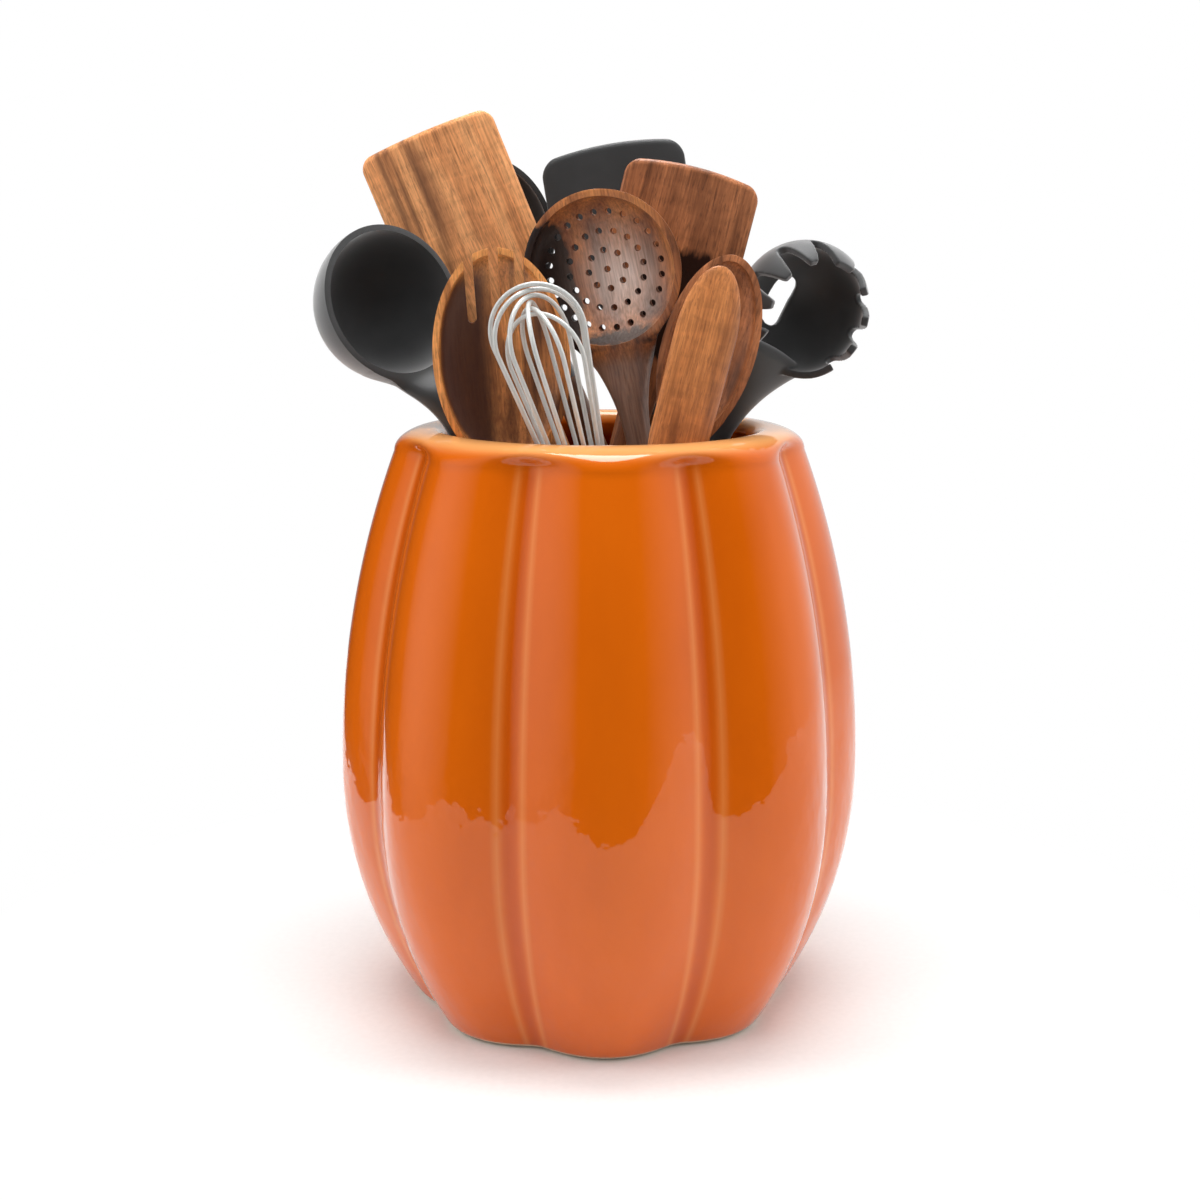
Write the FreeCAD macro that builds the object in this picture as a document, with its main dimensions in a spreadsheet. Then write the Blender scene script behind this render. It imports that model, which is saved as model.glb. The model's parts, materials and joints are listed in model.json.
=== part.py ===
import FreeCAD, Part
import math
import os

import Sketcher
from FreeCAD import Placement, Rotation, Vector

# A lobed stoneware crock with eleven kitchen utensils standing in it, in millimetres.
# The origin is the middle of the crock's foot, +Z is up, and the face with the widest lobe looks towards -Y.
# Every utensil is modelled upright, with the ball at the end of its grip at its own origin,
# its handle along +Z and the face of its head towards -Y, and is then leaned into the crock.

doc = FreeCAD.newDocument("FilledUtensilCrock")
sheet = doc.addObject("Spreadsheet::Sheet", "Sizes")

SIZES = {
    # crock: outer form
    "crock_height": 212.0,
    "crock_belly_radius": 95.0,
    "crock_belly_height": 86.0,
    "crock_base_radius": 68.0,
    "crock_shoulder_radius": 73.5,
    "crock_groove_depth": 9.2,
    "crock_foot_round": 3.0,
    "crock_lip_rise": 8.0,
    # crock: cavity and lip
    "mouth_radius": 55.0,
    "lip_inner_round": 5.0,
    "lip_land": 0.6,
    "crock_wall_thickness": 16.0,
    "cavity_floor_radius": 50.0,
    "crock_floor_thickness": 9.0,
    # fits that all utensils share
    "seat_gap": 0.3,
    "cut_overrun": 4.0,
    "tang_radius": 2.0,
    "tang_length": 40.0,
    "tang_clearance": 0.1,
    "tang_end_gap": 0.3,
    # soup ladle
    "ladle_rise": 49.7,
    "ladle_end_radius": 6.0,
    "ladle_collar_drop": 80.0,
    "ladle_collar_radius": 5.8,
    "ladle_neck_drop": 52.0,
    "ladle_neck_half_width": 5.8,
    "ladle_neck_half_thickness": 4.8,
    "ladle_flare_drop": 19.0,
    "ladle_flare_half_width": 19.0,
    "ladle_flare_half_thickness": 6.5,
    "ladle_flare_set_back": 13.0,
    "ladle_bowl_half_length": 28.0,
    "ladle_bowl_half_width": 27.5,
    "ladle_bowl_depth": 31.0,
    "ladle_bowl_wall": 2.4,
    "ladle_rim_edge": 2.2,
    "ladle_rim_set_back": 5.0,
    # round silicone spoon
    "black_spoon_rise": 76.0,
    "black_spoon_end_radius": 6.0,
    "black_spoon_collar_drop": 62.0,
    "black_spoon_collar_radius": 5.5,
    "black_spoon_neck_drop": 50.0,
    "black_spoon_neck_half_width": 4.9,
    "black_spoon_neck_half_thickness": 4.1,
    "black_spoon_flare_drop": 18.0,
    "black_spoon_flare_half_width": 12.0,
    "black_spoon_flare_half_thickness": 3.2,
    "black_spoon_flare_set_back": 1.5,
    "black_spoon_bowl_half_length": 26.0,
    "black_spoon_bowl_half_width": 20.0,
    "black_spoon_bowl_depth": 10.5,
    "black_spoon_bowl_wall": 2.6,
    "black_spoon_rim_edge": 2.0,
    "black_spoon_rim_set_back": -3.0,
    # silicone turner
    "soft_turner_rise": 101.2,
    "soft_turner_end_radius": 6.0,
    "soft_turner_collar_drop": 100.0,
    "soft_turner_collar_radius": 5.5,
    "soft_turner_neck_drop": 84.0,
    "soft_turner_neck_half_width": 5.0,
    "soft_turner_neck_half_thickness": 4.2,
    "soft_turner_flare_drop": 40.0,
    "soft_turner_flare_half_width": 28.0,
    "soft_turner_flare_half_thickness": 2.6,
    "soft_turner_tip_half_thickness": 1.8,
    "soft_turner_blade_width": 53.0,
    "soft_turner_corner_radius": 6.0,
    "soft_turner_arch_radius": 120.0,
    # pasta server
    "pasta_server_rise": 48.0,
    "pasta_server_end_radius": 6.0,
    "pasta_server_collar_drop": 84.0,
    "pasta_server_collar_radius": 5.8,
    "pasta_server_neck_drop": 54.0,
    "pasta_server_neck_half_width": 5.2,
    "pasta_server_neck_half_thickness": 4.6,
    "pasta_server_flare_drop": 20.0,
    "pasta_server_flare_half_width": 17.0,
    "pasta_server_flare_half_thickness": 4.6,
    "pasta_server_flare_set_back": -5.0,
    "pasta_server_bowl_radius": 25.0,
    "pasta_server_bowl_depth": 21.0,
    "pasta_server_bowl_set_back": -12.0,
    "pasta_server_bowl_wall": 2.6,
    "pasta_server_rim_curl": 12.0,
    "pasta_server_notch_width": 5.6,
    "pasta_server_notch_depth": 13.0,
    "pasta_server_drain_length": 21.0,
    "pasta_server_drain_width": 10.0,
    # large wooden turner
    "large_turner_rise": 112.1,
    "large_turner_end_radius": 6.0,
    "large_turner_neck_drop": 106.0,
    "large_turner_neck_half_width": 6.4,
    "large_turner_neck_half_thickness": 4.6,
    "large_turner_flare_drop": 52.0,
    "large_turner_flare_half_width": 27.5,
    "large_turner_flare_half_thickness": 3.0,
    "large_turner_tip_half_thickness": 2.0,
    "large_turner_blade_width": 52.0,
    "large_turner_corner_radius": 5.0,
    "large_turner_arch_radius": 260.0,
    # dark wooden turner
    "dark_turner_rise": 93.6,
    "dark_turner_end_radius": 6.0,
    "dark_turner_neck_drop": 92.0,
    "dark_turner_neck_half_width": 6.2,
    "dark_turner_neck_half_thickness": 4.6,
    "dark_turner_flare_drop": 48.0,
    "dark_turner_flare_half_width": 26.0,
    "dark_turner_flare_half_thickness": 3.0,
    "dark_turner_tip_half_thickness": 2.0,
    "dark_turner_blade_width": 49.0,
    "dark_turner_corner_radius": 5.0,
    "dark_turner_arch_radius": 110.0,
    # skimmer
    "skimmer_rise": 56.0,
    "skimmer_end_radius": 6.0,
    "skimmer_neck_drop": 60.0,
    "skimmer_neck_half_width": 4.9,
    "skimmer_neck_half_thickness": 4.2,
    "skimmer_flare_drop": 19.0,
    "skimmer_flare_half_width": 19.0,
    "skimmer_flare_half_thickness": 4.0,
    "skimmer_flare_set_back": 3.5,
    "skimmer_bowl_half_length": 28.3,
    "skimmer_bowl_half_width": 28.3,
    "skimmer_bowl_depth": 13.0,
    "skimmer_bowl_wall": 3.2,
    "skimmer_rim_edge": 2.4,
    "skimmer_rim_set_back": -4.0,
    "skimmer_hole_radius": 1.2,
    "skimmer_hole_ring_step": 6.8,
    # slotted spoon
    "slotted_spoon_rise": 25.7,
    "slotted_spoon_end_radius": 6.0,
    "slotted_spoon_neck_drop": 68.0,
    "slotted_spoon_neck_half_width": 5.4,
    "slotted_spoon_neck_half_thickness": 4.6,
    "slotted_spoon_flare_drop": 26.0,
    "slotted_spoon_flare_half_width": 15.0,
    "slotted_spoon_flare_half_thickness": 3.8,
    "slotted_spoon_flare_set_back": 2.0,
    "slotted_spoon_bowl_half_length": 38.0,
    "slotted_spoon_bowl_half_width": 23.5,
    "slotted_spoon_bowl_depth": 12.0,
    "slotted_spoon_bowl_wall": 3.2,
    "slotted_spoon_rim_edge": 2.2,
    "slotted_spoon_rim_set_back": -4.0,
    "slotted_spoon_slot_width": 3.2,
    "slotted_spoon_slot_pitch": 8.6,
    "slotted_spoon_slot_length": 24.0,
    # wooden spoon
    "wooden_spoon_rise": 29.5,
    "wooden_spoon_end_radius": 6.0,
    "wooden_spoon_neck_drop": 58.0,
    "wooden_spoon_neck_half_width": 5.3,
    "wooden_spoon_neck_half_thickness": 4.5,
    "wooden_spoon_flare_drop": 23.0,
    "wooden_spoon_flare_half_width": 11.0,
    "wooden_spoon_flare_half_thickness": 3.6,
    "wooden_spoon_flare_set_back": 1.5,
    "wooden_spoon_bowl_half_length": 33.0,
    "wooden_spoon_bowl_half_width": 16.5,
    "wooden_spoon_bowl_depth": 10.0,
    "wooden_spoon_bowl_wall": 3.0,
    "wooden_spoon_rim_edge": 2.2,
    "wooden_spoon_rim_set_back": -3.0,
    # narrow spatula
    "narrow_spatula_rise": 59.2,
    "narrow_spatula_end_radius": 6.0,
    "narrow_spatula_neck_drop": 124.0,
    "narrow_spatula_neck_half_width": 6.2,
    "narrow_spatula_neck_half_thickness": 4.6,
    "narrow_spatula_flare_drop": 60.0,
    "narrow_spatula_flare_half_width": 10.4,
    "narrow_spatula_flare_half_thickness": 3.4,
    "narrow_spatula_tip_rise": 24.0,
    "narrow_spatula_tip_half_width": 10.8,
    "narrow_spatula_tip_half_thickness": 2.8,
    # balloon whisk
    "whisk_rise": 54.1,
    "whisk_end_radius": 7.0,
    "whisk_wire_radius": 0.8,
    "whisk_loop_radius": 15.8,
    "whisk_loop_step": 1.95,
    "whisk_root_drop": 106.0,
    "whisk_root_radius": 3.8,
    "whisk_plug_radius": 6.2,
    "whisk_plug_height": 8.0,
    "whisk_spigot_height": 14.0,
    "whisk_ferrule_radius": 7.0,
    "whisk_wire_clearance": 0.05,
    "whisk_ferrule_clearance": 0.1,
}

for row, (alias, value) in enumerate(SIZES.items(), start=1):
    sheet.set(f"A{row}", alias)
    sheet.set(f"B{row}", str(value))
    sheet.setAlias(f"B{row}", alias)


def derive(alias, formula):
    """Adds a size that follows from others to the sheet."""
    row = 1
    while sheet.getContents(f"A{row}"):
        row += 1
    sheet.set(f"A{row}", alias)
    sheet.set(f"B{row}", formula)
    sheet.setAlias(f"B{row}", alias)


derive("cavity_belly_radius", "=crock_belly_radius - crock_wall_thickness")
doc.recompute()


def size(alias):
    """The present value of one cell of the sheet."""
    return float(sheet.get(alias))


def add(kind, name, **expressions):
    """A document object whose properties follow expressions on the sheet."""
    made = doc.addObject(kind, name)
    for prop, expression in expressions.items():
        made.setExpression(prop.replace("__", "."), expression)
    return made


# Crock. Its wall runs through a stack of eight-lobed outlines, its cavity is turned.

LOBES = 8
LOBE_TURN = math.radians(2.4)
POINTS_PER_LOBE = 8
GROOVE_SOFT_SHARE = 0.22
BASE_GROOVE_SHARE = 0.85
WALL_HEIGHT_SHARES = (0.05, 0.1, 0.16, 0.22, 0.29, 0.36, 0.43, 0.51, 0.59, 0.67, 0.75, 0.83, 0.9, 0.96, 1.0)
ROUND_SHARES = (0.0, 0.15, 0.5, 1.0)
LIP_SHARES = (0.3, 0.55, 0.75, 0.89, 0.97, 1.0)


def arc_profile(belly_radius, belly_height, end_radius, end_height, height):
    """Radius at a height on an arc that stands upright at the belly and passes through the end."""
    inset = belly_radius - end_radius
    rise = end_height - belly_height
    bend = (inset ** 2 + rise ** 2) / (2 * inset)
    return belly_radius - bend + math.sqrt(bend ** 2 - (height - belly_height) ** 2)


def crest_radius(height):
    """Radius of the crock over the middle of a lobe, below the lip."""
    belly, belly_height = size("crock_belly_radius"), size("crock_belly_height")
    if height < belly_height:
        return arc_profile(belly, belly_height, size("crock_base_radius"), 0, height)
    shoulder_height = size("crock_height") - size("crock_lip_rise")
    return arc_profile(belly, belly_height, size("crock_shoulder_radius"), shoulder_height, height)


def groove_radius(height):
    """Radius in the valley between two lobes; the grooves are shallower towards the foot."""
    belly_height = size("crock_belly_height")
    lift = min(height / belly_height, 1.0)
    depth_share = BASE_GROOVE_SHARE + (1.0 - BASE_GROOVE_SHARE) * lift
    crest = crest_radius(height)
    return crest - crest * depth_share * size("crock_groove_depth") / size("crock_belly_radius")


def lobed_outline(height, crest, groove):
    """A closed smooth outline with one swell for each lobe."""
    points = []
    steps = LOBES * POINTS_PER_LOBE
    soft_top = math.sqrt(1.0 + GROOVE_SOFT_SHARE ** 2)
    for step in range(steps):
        angle = 2 * math.pi * step / steps
        swell = math.sqrt(math.cos(LOBES * angle / 2) ** 2 + GROOVE_SOFT_SHARE ** 2)
        lobe = (swell - GROOVE_SOFT_SHARE) / (soft_top - GROOVE_SOFT_SHARE)
        radius = groove + (crest - groove) * lobe
        turned = angle + LOBE_TURN - math.pi / 2
        points.append(Vector(radius * math.cos(turned), radius * math.sin(turned), height))
    curve = Part.BSplineCurve()
    curve.interpolate(points, PeriodicFlag=True)
    return Part.Wire(curve.toShape())


def crock_wall():
    """The solid outer form: rounded foot, lobed wall and rounded lip."""
    foot = size("crock_foot_round")
    shoulder = size("crock_height") - size("crock_lip_rise")
    lip_radius = size("mouth_radius") + size("lip_inner_round") + size("lip_land")
    outlines = []
    for share in ROUND_SHARES:
        height = foot * share
        inset = foot - math.sqrt(foot ** 2 - (foot - height) ** 2)
        outlines.append(lobed_outline(height, crest_radius(height) - inset, groove_radius(height) - inset))
    for share in WALL_HEIGHT_SHARES:
        height = shoulder * share
        outlines.append(lobed_outline(height, crest_radius(height), groove_radius(height)))
    for share in LIP_SHARES:
        height = shoulder + size("crock_lip_rise") * share
        turn_in = math.sqrt(1.0 - share ** 2)
        crest = lip_radius + (crest_radius(shoulder) - lip_radius) * turn_in
        groove = lip_radius + (groove_radius(shoulder) - lip_radius) * turn_in
        outlines.append(lobed_outline(height, crest, groove))
    return Part.makeLoft(outlines, True, True)


def origin_plane(body, role):
    """One of a body's own base planes."""
    return next(feature for feature in body.Origin.OriginFeatures if feature.Role == role)


def turned_body(name, corners, arcs):
    """A body turned about its Z axis from a closed half outline.

    Corners are pairs of expressions for radius and height, None where the corner lies on the axis or
    at height zero and the arc that ends there fixes the rest. Arcs give, for the edge that leaves a
    corner, the centre as radius and height values and which of the two is held by an expression.
    """
    body = doc.addObject("PartDesign::Body", name)
    sketch = body.newObject("Sketcher::SketchObject", name + "_outline")
    sketch.AttachmentSupport = (origin_plane(body, "XZ_Plane"), "")
    sketch.MapMode = "FlatFace"
    count = len(corners)
    spots = [Vector(corner["at"][0], corner["at"][1], 0) for corner in corners]
    for index in range(count):
        start, end = spots[index], spots[(index + 1) % count]
        if index in arcs:
            middle = arcs[index]["centre"]
            centre = Vector(middle[0], middle[1], 0)
            radius = (start - centre).Length
            from_angle = math.atan2(start.y - centre.y, start.x - centre.x)
            to_angle = math.atan2(end.y - centre.y, end.x - centre.x)
            circle = Part.Circle(centre, Vector(0, 0, 1), radius)
            if arcs[index]["clockwise"]:
                from_angle, to_angle = to_angle, from_angle
            sketch.addGeometry(Part.ArcOfCircle(circle, from_angle, to_angle), False)
        else:
            sketch.addGeometry(Part.LineSegment(start, end), False)

    def tail(index):
        return 2 if index in arcs and arcs[index]["clockwise"] else 1

    for index in range(count):
        following = (index + 1) % count
        sketch.addConstraint(
            Sketcher.Constraint("Coincident", index, 3 - tail(index), following, tail(following)))
    for index, corner in enumerate(corners):
        hold_point(sketch, index, tail(index), corner.get("radius"), corner.get("height"), spots[index])
    for index, arc in arcs.items():
        centre = Vector(arc["centre"][0], arc["centre"][1], 0)
        hold_point(sketch, index, 3, arc.get("radius"), arc.get("height"), centre)
    turn = body.newObject("PartDesign::Revolution", name + "_turn")
    turn.Profile = sketch
    turn.ReferenceAxis = (sketch, ["V_Axis"])
    turn.Angle = 360.0
    return body


def hold_point(sketch, edge, end, radius, height, spot):
    """Ties one point of a sketch to the axes or to expressions on the sheet."""
    if radius == "axis":
        sketch.addConstraint(Sketcher.Constraint("PointOnObject", edge, end, -2))
    elif radius:
        held = sketch.addConstraint(Sketcher.Constraint("DistanceX", -1, 1, edge, end, spot.x))
        sketch.setExpression(f"Constraints[{held}]", radius)
    if height == "base":
        sketch.addConstraint(Sketcher.Constraint("PointOnObject", edge, end, -1))
    elif height:
        held = sketch.addConstraint(Sketcher.Constraint("DistanceY", -1, 1, edge, end, spot.y))
        sketch.setExpression(f"Constraints[{held}]", height)


def corner(radius, height):
    """A corner of a turned outline, from two expressions on the sheet."""
    values = [0.0 if text in ("axis", "base") else evaluate(text) for text in (radius, height)]
    return {"at": values, "radius": radius, "height": height}


def evaluate(expression):
    """The value of an expression on the sheet."""
    return float(sheet.evalExpression(expression))


def crock_cavity():
    """The turned hollow: flat floor, two belly arcs and the rounding of the lip."""
    mouth_height = "Sizes.crock_height - Sizes.lip_inner_round"
    lip_radius = "Sizes.mouth_radius + Sizes.lip_inner_round"
    above = "Sizes.crock_height + Sizes.cut_overrun"
    corners = [
        corner("axis", "Sizes.crock_floor_thickness"),
        corner("Sizes.cavity_floor_radius", "Sizes.crock_floor_thickness"),
        corner("Sizes.cavity_belly_radius", "Sizes.crock_belly_height"),
        corner("Sizes.mouth_radius", mouth_height),
        corner(lip_radius, "Sizes.crock_height"),
        corner(lip_radius, above),
        corner("axis", above),
    ]
    belly = size("cavity_belly_radius")
    level = size("crock_belly_height")

    def belly_arc(end_radius, end_height):
        inset = belly - end_radius
        bend = (inset ** 2 + (end_height - level) ** 2) / (2 * inset)
        return {"centre": (belly - bend, level), "clockwise": False, "height": "Sizes.crock_belly_height"}

    lip_centre = (evaluate(lip_radius), evaluate(mouth_height))
    arcs = {
        1: belly_arc(size("cavity_floor_radius"), size("crock_floor_thickness")),
        2: belly_arc(size("mouth_radius"), evaluate(mouth_height)),
        3: {"centre": lip_centre, "clockwise": True, "radius": lip_radius},
    }
    return turned_body("crock_cavity", corners, arcs)


crock_form = doc.addObject("Part::Feature", "crock_form")
crock_form.Shape = crock_wall()
crock = doc.addObject("Part::Cut", "crock_body")
crock.Base = crock_form
crock.Tool = crock_cavity()

pieces = [crock]


# How each utensil stands: where its axis crosses the level of the lip, as shares of the mouth's radius
# to the right and to the back, then its lean to the right, its lean to the back and the turn of its
# face to the right, in degrees.

RIM_SHARES = {
    "ladle": (-0.8931, -0.0311),
    "large_turner": (-0.4105, 0.6445),
    "black_spoon": (-0.1515, 0.8549),
    "soft_turner": (0.3608, 0.5966),
    "dark_turner": (0.2191, 0.3630),
    "skimmer": (0.2353, 0.0132),
    "slotted_spoon": (-0.5840, -0.3526),
    "whisk": (-0.1876, -0.7367),
    "narrow_spatula": (0.4824, -0.7398),
    "wooden_spoon": (0.5382, -0.2620),
    "pasta_server": (0.8291, 0.3273),
}
LEANS = {
    "ladle": (-24.76, -0.43, 41.0),
    "large_turner": (-22.11, -1.87, -3.2),
    "black_spoon": (-22.97, -1.26, 0.7),
    "soft_turner": (-9.29, 2.37, -3.8),
    "dark_turner": (13.79, -3.60, 1.9),
    "skimmer": (-11.81, -1.40, -13.3),
    "slotted_spoon": (-4.02, -4.49, 5.2),
    "whisk": (-15.92, -6.42, -6.8),
    "narrow_spatula": (14.45, 7.09, 10.3),
    "wooden_spoon": (16.11, 2.20, -2.2),
    "pasta_server": (27.50, 2.60, 26.0),
}
SEAT_STEPS = 60


def room_in_cavity(point):
    """Distance from a point inside the crock to its floor or wall."""
    radius = math.hypot(point.x, point.y)
    belly, level = size("cavity_belly_radius"), size("crock_belly_height")
    floor = size("crock_floor_thickness")
    if point.z < level:
        end_radius, end_height = size("cavity_floor_radius"), floor
    else:
        end_radius, end_height = size("mouth_radius"), size("crock_height") - size("lip_inner_round")
    inset = belly - end_radius
    bend = (inset ** 2 + (end_height - level) ** 2) / (2 * inset)
    wall = bend - math.hypot(radius - (belly - bend), point.z - level)
    return min(wall, point.z - floor)


def stance(tool):
    """Slides the leaning axis down until the ball at the end of the grip reaches its seat.

    Gives the place of the ball with the directions of the utensil, and how far the ball lies below the lip.
    """
    right_share, back_share = RIM_SHARES[tool]
    lean_right, lean_back, face_turn = LEANS[tool]
    mouth = size("mouth_radius")
    top = Vector(right_share * mouth, back_share * mouth, size("crock_height"))
    axis = Vector(math.tan(math.radians(lean_right)), math.tan(math.radians(lean_back)), 1.0).normalize()
    needed = size(tool + "_end_radius") + size("seat_gap")
    high, low = 0.5 * size("crock_height"), size("crock_height") / axis.z
    for _ in range(SEAT_STEPS):
        middle = (high + low) / 2
        if room_in_cavity(top - axis * middle) > needed:
            high = middle
        else:
            low = middle
    back = Vector(0, 1, 0)
    back = (back - axis * axis.dot(back)).normalize()
    right = back.cross(axis)
    upright = Rotation(right, back, axis, "ZXY")
    turned = upright.multiply(Rotation(Vector(0, 0, 1), face_turn))
    return Placement(top - axis * high, turned), high


for utensil in RIM_SHARES:
    derive(utensil + "_length", f"={utensil}_rise + {stance(utensil)[1]}")
doc.recompute()


def finish(made, label):
    """Notes a finished sub-part, whose label names its file."""
    made.Label = label
    pieces.append(made)
    return made


# Stems. A stem is a loft through ellipses: the grip, then a neck that flares into the head.

GRIP_SHARES = ((0.0, 1.0, 1.0), (0.35, 1.04, 0.96), (0.75, 0.98, 0.88))
FLARE_STEPS = 8


def stem(tool, foot_sections, head_sections, set_back):
    """A loft through ellipses from the foot sections, along the flare, to any head sections."""
    half_width = f"Sizes.{tool}_neck_half_width"
    half_thickness = f"Sizes.{tool}_neck_half_thickness"
    more_width = f"(Sizes.{tool}_flare_half_width - {half_width})"
    more_thickness = f"(Sizes.{tool}_flare_half_thickness - {half_thickness})"
    neck = f"(Sizes.{tool}_length - Sizes.{tool}_neck_drop)"
    rise = f"(Sizes.{tool}_neck_drop - Sizes.{tool}_flare_drop)"
    sections = list(foot_sections)
    for step in range(FLARE_STEPS + 1):
        height_share = step / FLARE_STEPS
        spread_share = height_share ** 2
        sections.append((
            f"{neck} + {rise} * {height_share}",
            f"{half_width} + {more_width} * {spread_share}",
            f"{half_thickness} + {more_thickness} * {height_share}",
            f"{set_back} * {spread_share}",
        ))
    sections.extend(head_sections)
    ellipses = []
    for index, (height, width, thickness, back) in enumerate(sections):
        ellipses.append(add(
            "Part::Ellipse", f"{tool}_section_{index}", MajorRadius=width, MinorRadius=thickness,
            Placement__Base__z=height, Placement__Base__y=back))
    return loft_through(tool + "_stem", ellipses, True)


def loft_through(name, sections, straight):
    """A solid through closed sections, straight from one to the next or smooth."""
    made = doc.addObject("Part::Loft", name)
    made.Sections = sections
    made.Solid = True
    made.Ruled = straight
    return made


def grip_sections(tool):
    """Sections of a wooden grip, from the ball at its end to its neck."""
    neck = f"(Sizes.{tool}_length - Sizes.{tool}_neck_drop)"
    radius = f"Sizes.{tool}_end_radius"
    return [(f"{neck} * {height_share}", f"{radius} * {width_share}", f"{radius} * {thickness_share}", "0")
            for height_share, width_share, thickness_share in GRIP_SHARES]


def collar_sections(tool):
    """The round face with which a soft head sits on its wooden handle."""
    radius = f"Sizes.{tool}_collar_radius"
    return [(f"Sizes.{tool}_length - Sizes.{tool}_collar_drop", radius, radius, "0")]


def end_ball(tool):
    """The half ball that ends a wooden grip."""
    return add("Part::Sphere", tool + "_end", Radius=f"Sizes.{tool}_end_radius", Angle2="0")


def fuse(name, shapes):
    made = doc.addObject("Part::MultiFuse", name)
    made.Shapes = shapes
    return made


def cut(name, base, tool_object):
    made = doc.addObject("Part::Cut", name)
    made.Base = base
    made.Tool = tool_object
    return made


# Bowls. A bowl is half an ellipsoid behind its rim plane, hollowed by a smaller one.
# Both are lofts through ellipses that shrink from the rim to the back.

BOWL_SHARES = (1.0, 0.985, 0.94, 0.86, 0.74, 0.58, 0.38, 0.16)
FACING_FRONT = Rotation(Vector(1, 0, 0), 90)
QUARTER_TURN = Rotation(Vector(0, 0, 1), 90)


def half_ellipsoid(tool, name, half_width, half_length, depth, front):
    """Half an ellipsoid behind the rim plane, with a straight stretch in front of it."""
    rim = f"Sizes.{tool}_rim_set_back"
    levels = [(1.0, f"{rim} - {front}")] if front else []
    for share in BOWL_SHARES:
        levels.append((share, f"{rim} + ({depth}) * {math.sqrt(1.0 - share ** 2)}"))
    upright = evaluate(half_length) >= evaluate(half_width)
    major, minor = (half_length, half_width) if upright else (half_width, half_length)
    ellipses = []
    for index, (share, back) in enumerate(levels):
        made = doc.addObject("Part::Ellipse", f"{name}_section_{index}")
        made.Placement = Placement(Vector(), FACING_FRONT * QUARTER_TURN if upright else FACING_FRONT)
        made.setExpression("MajorRadius", f"({major}) * {share}")
        made.setExpression("MinorRadius", f"({minor}) * {share}")
        made.setExpression("Placement.Base.y", back)
        made.setExpression("Placement.Base.z", f"Sizes.{tool}_length")
        ellipses.append(made)
    return loft_through(name, ellipses, False)


def bowl_outside(tool):
    """The outside of a bowl."""
    return half_ellipsoid(
        tool, tool + "_bowl_outside", f"Sizes.{tool}_bowl_half_width", f"Sizes.{tool}_bowl_half_length",
        f"Sizes.{tool}_bowl_depth", None)


def bowl_hollow(tool):
    """The form that hollows a bowl and leaves its wall and rim."""
    return half_ellipsoid(
        tool, tool + "_bowl_hollow", f"Sizes.{tool}_bowl_half_width - Sizes.{tool}_rim_edge",
        f"Sizes.{tool}_bowl_half_length - Sizes.{tool}_rim_edge",
        f"Sizes.{tool}_bowl_depth - Sizes.{tool}_bowl_wall", "Sizes.cut_overrun")


def wooden_bowl_tool(tool, name):
    """A spoon carved from one piece of wood: ball end, grip, flared neck and hollowed bowl."""
    shaft = stem(tool, grip_sections(tool), [], f"Sizes.{tool}_flare_set_back")
    whole = fuse(tool + "_blank", [end_ball(tool), shaft, bowl_outside(tool)])
    return cut(name, whole, bowl_hollow(tool))


def soft_bowl_head(tool, name):
    """A moulded bowl with a neck that ends in a flat collar."""
    neck = stem(tool, collar_sections(tool), [], f"Sizes.{tool}_flare_set_back")
    whole = fuse(tool + "_blank", [neck, bowl_outside(tool)])
    return cut(name, whole, bowl_hollow(tool))


# Turner blades. The flare runs on into a thin blade, which an arched outline trims.


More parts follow.
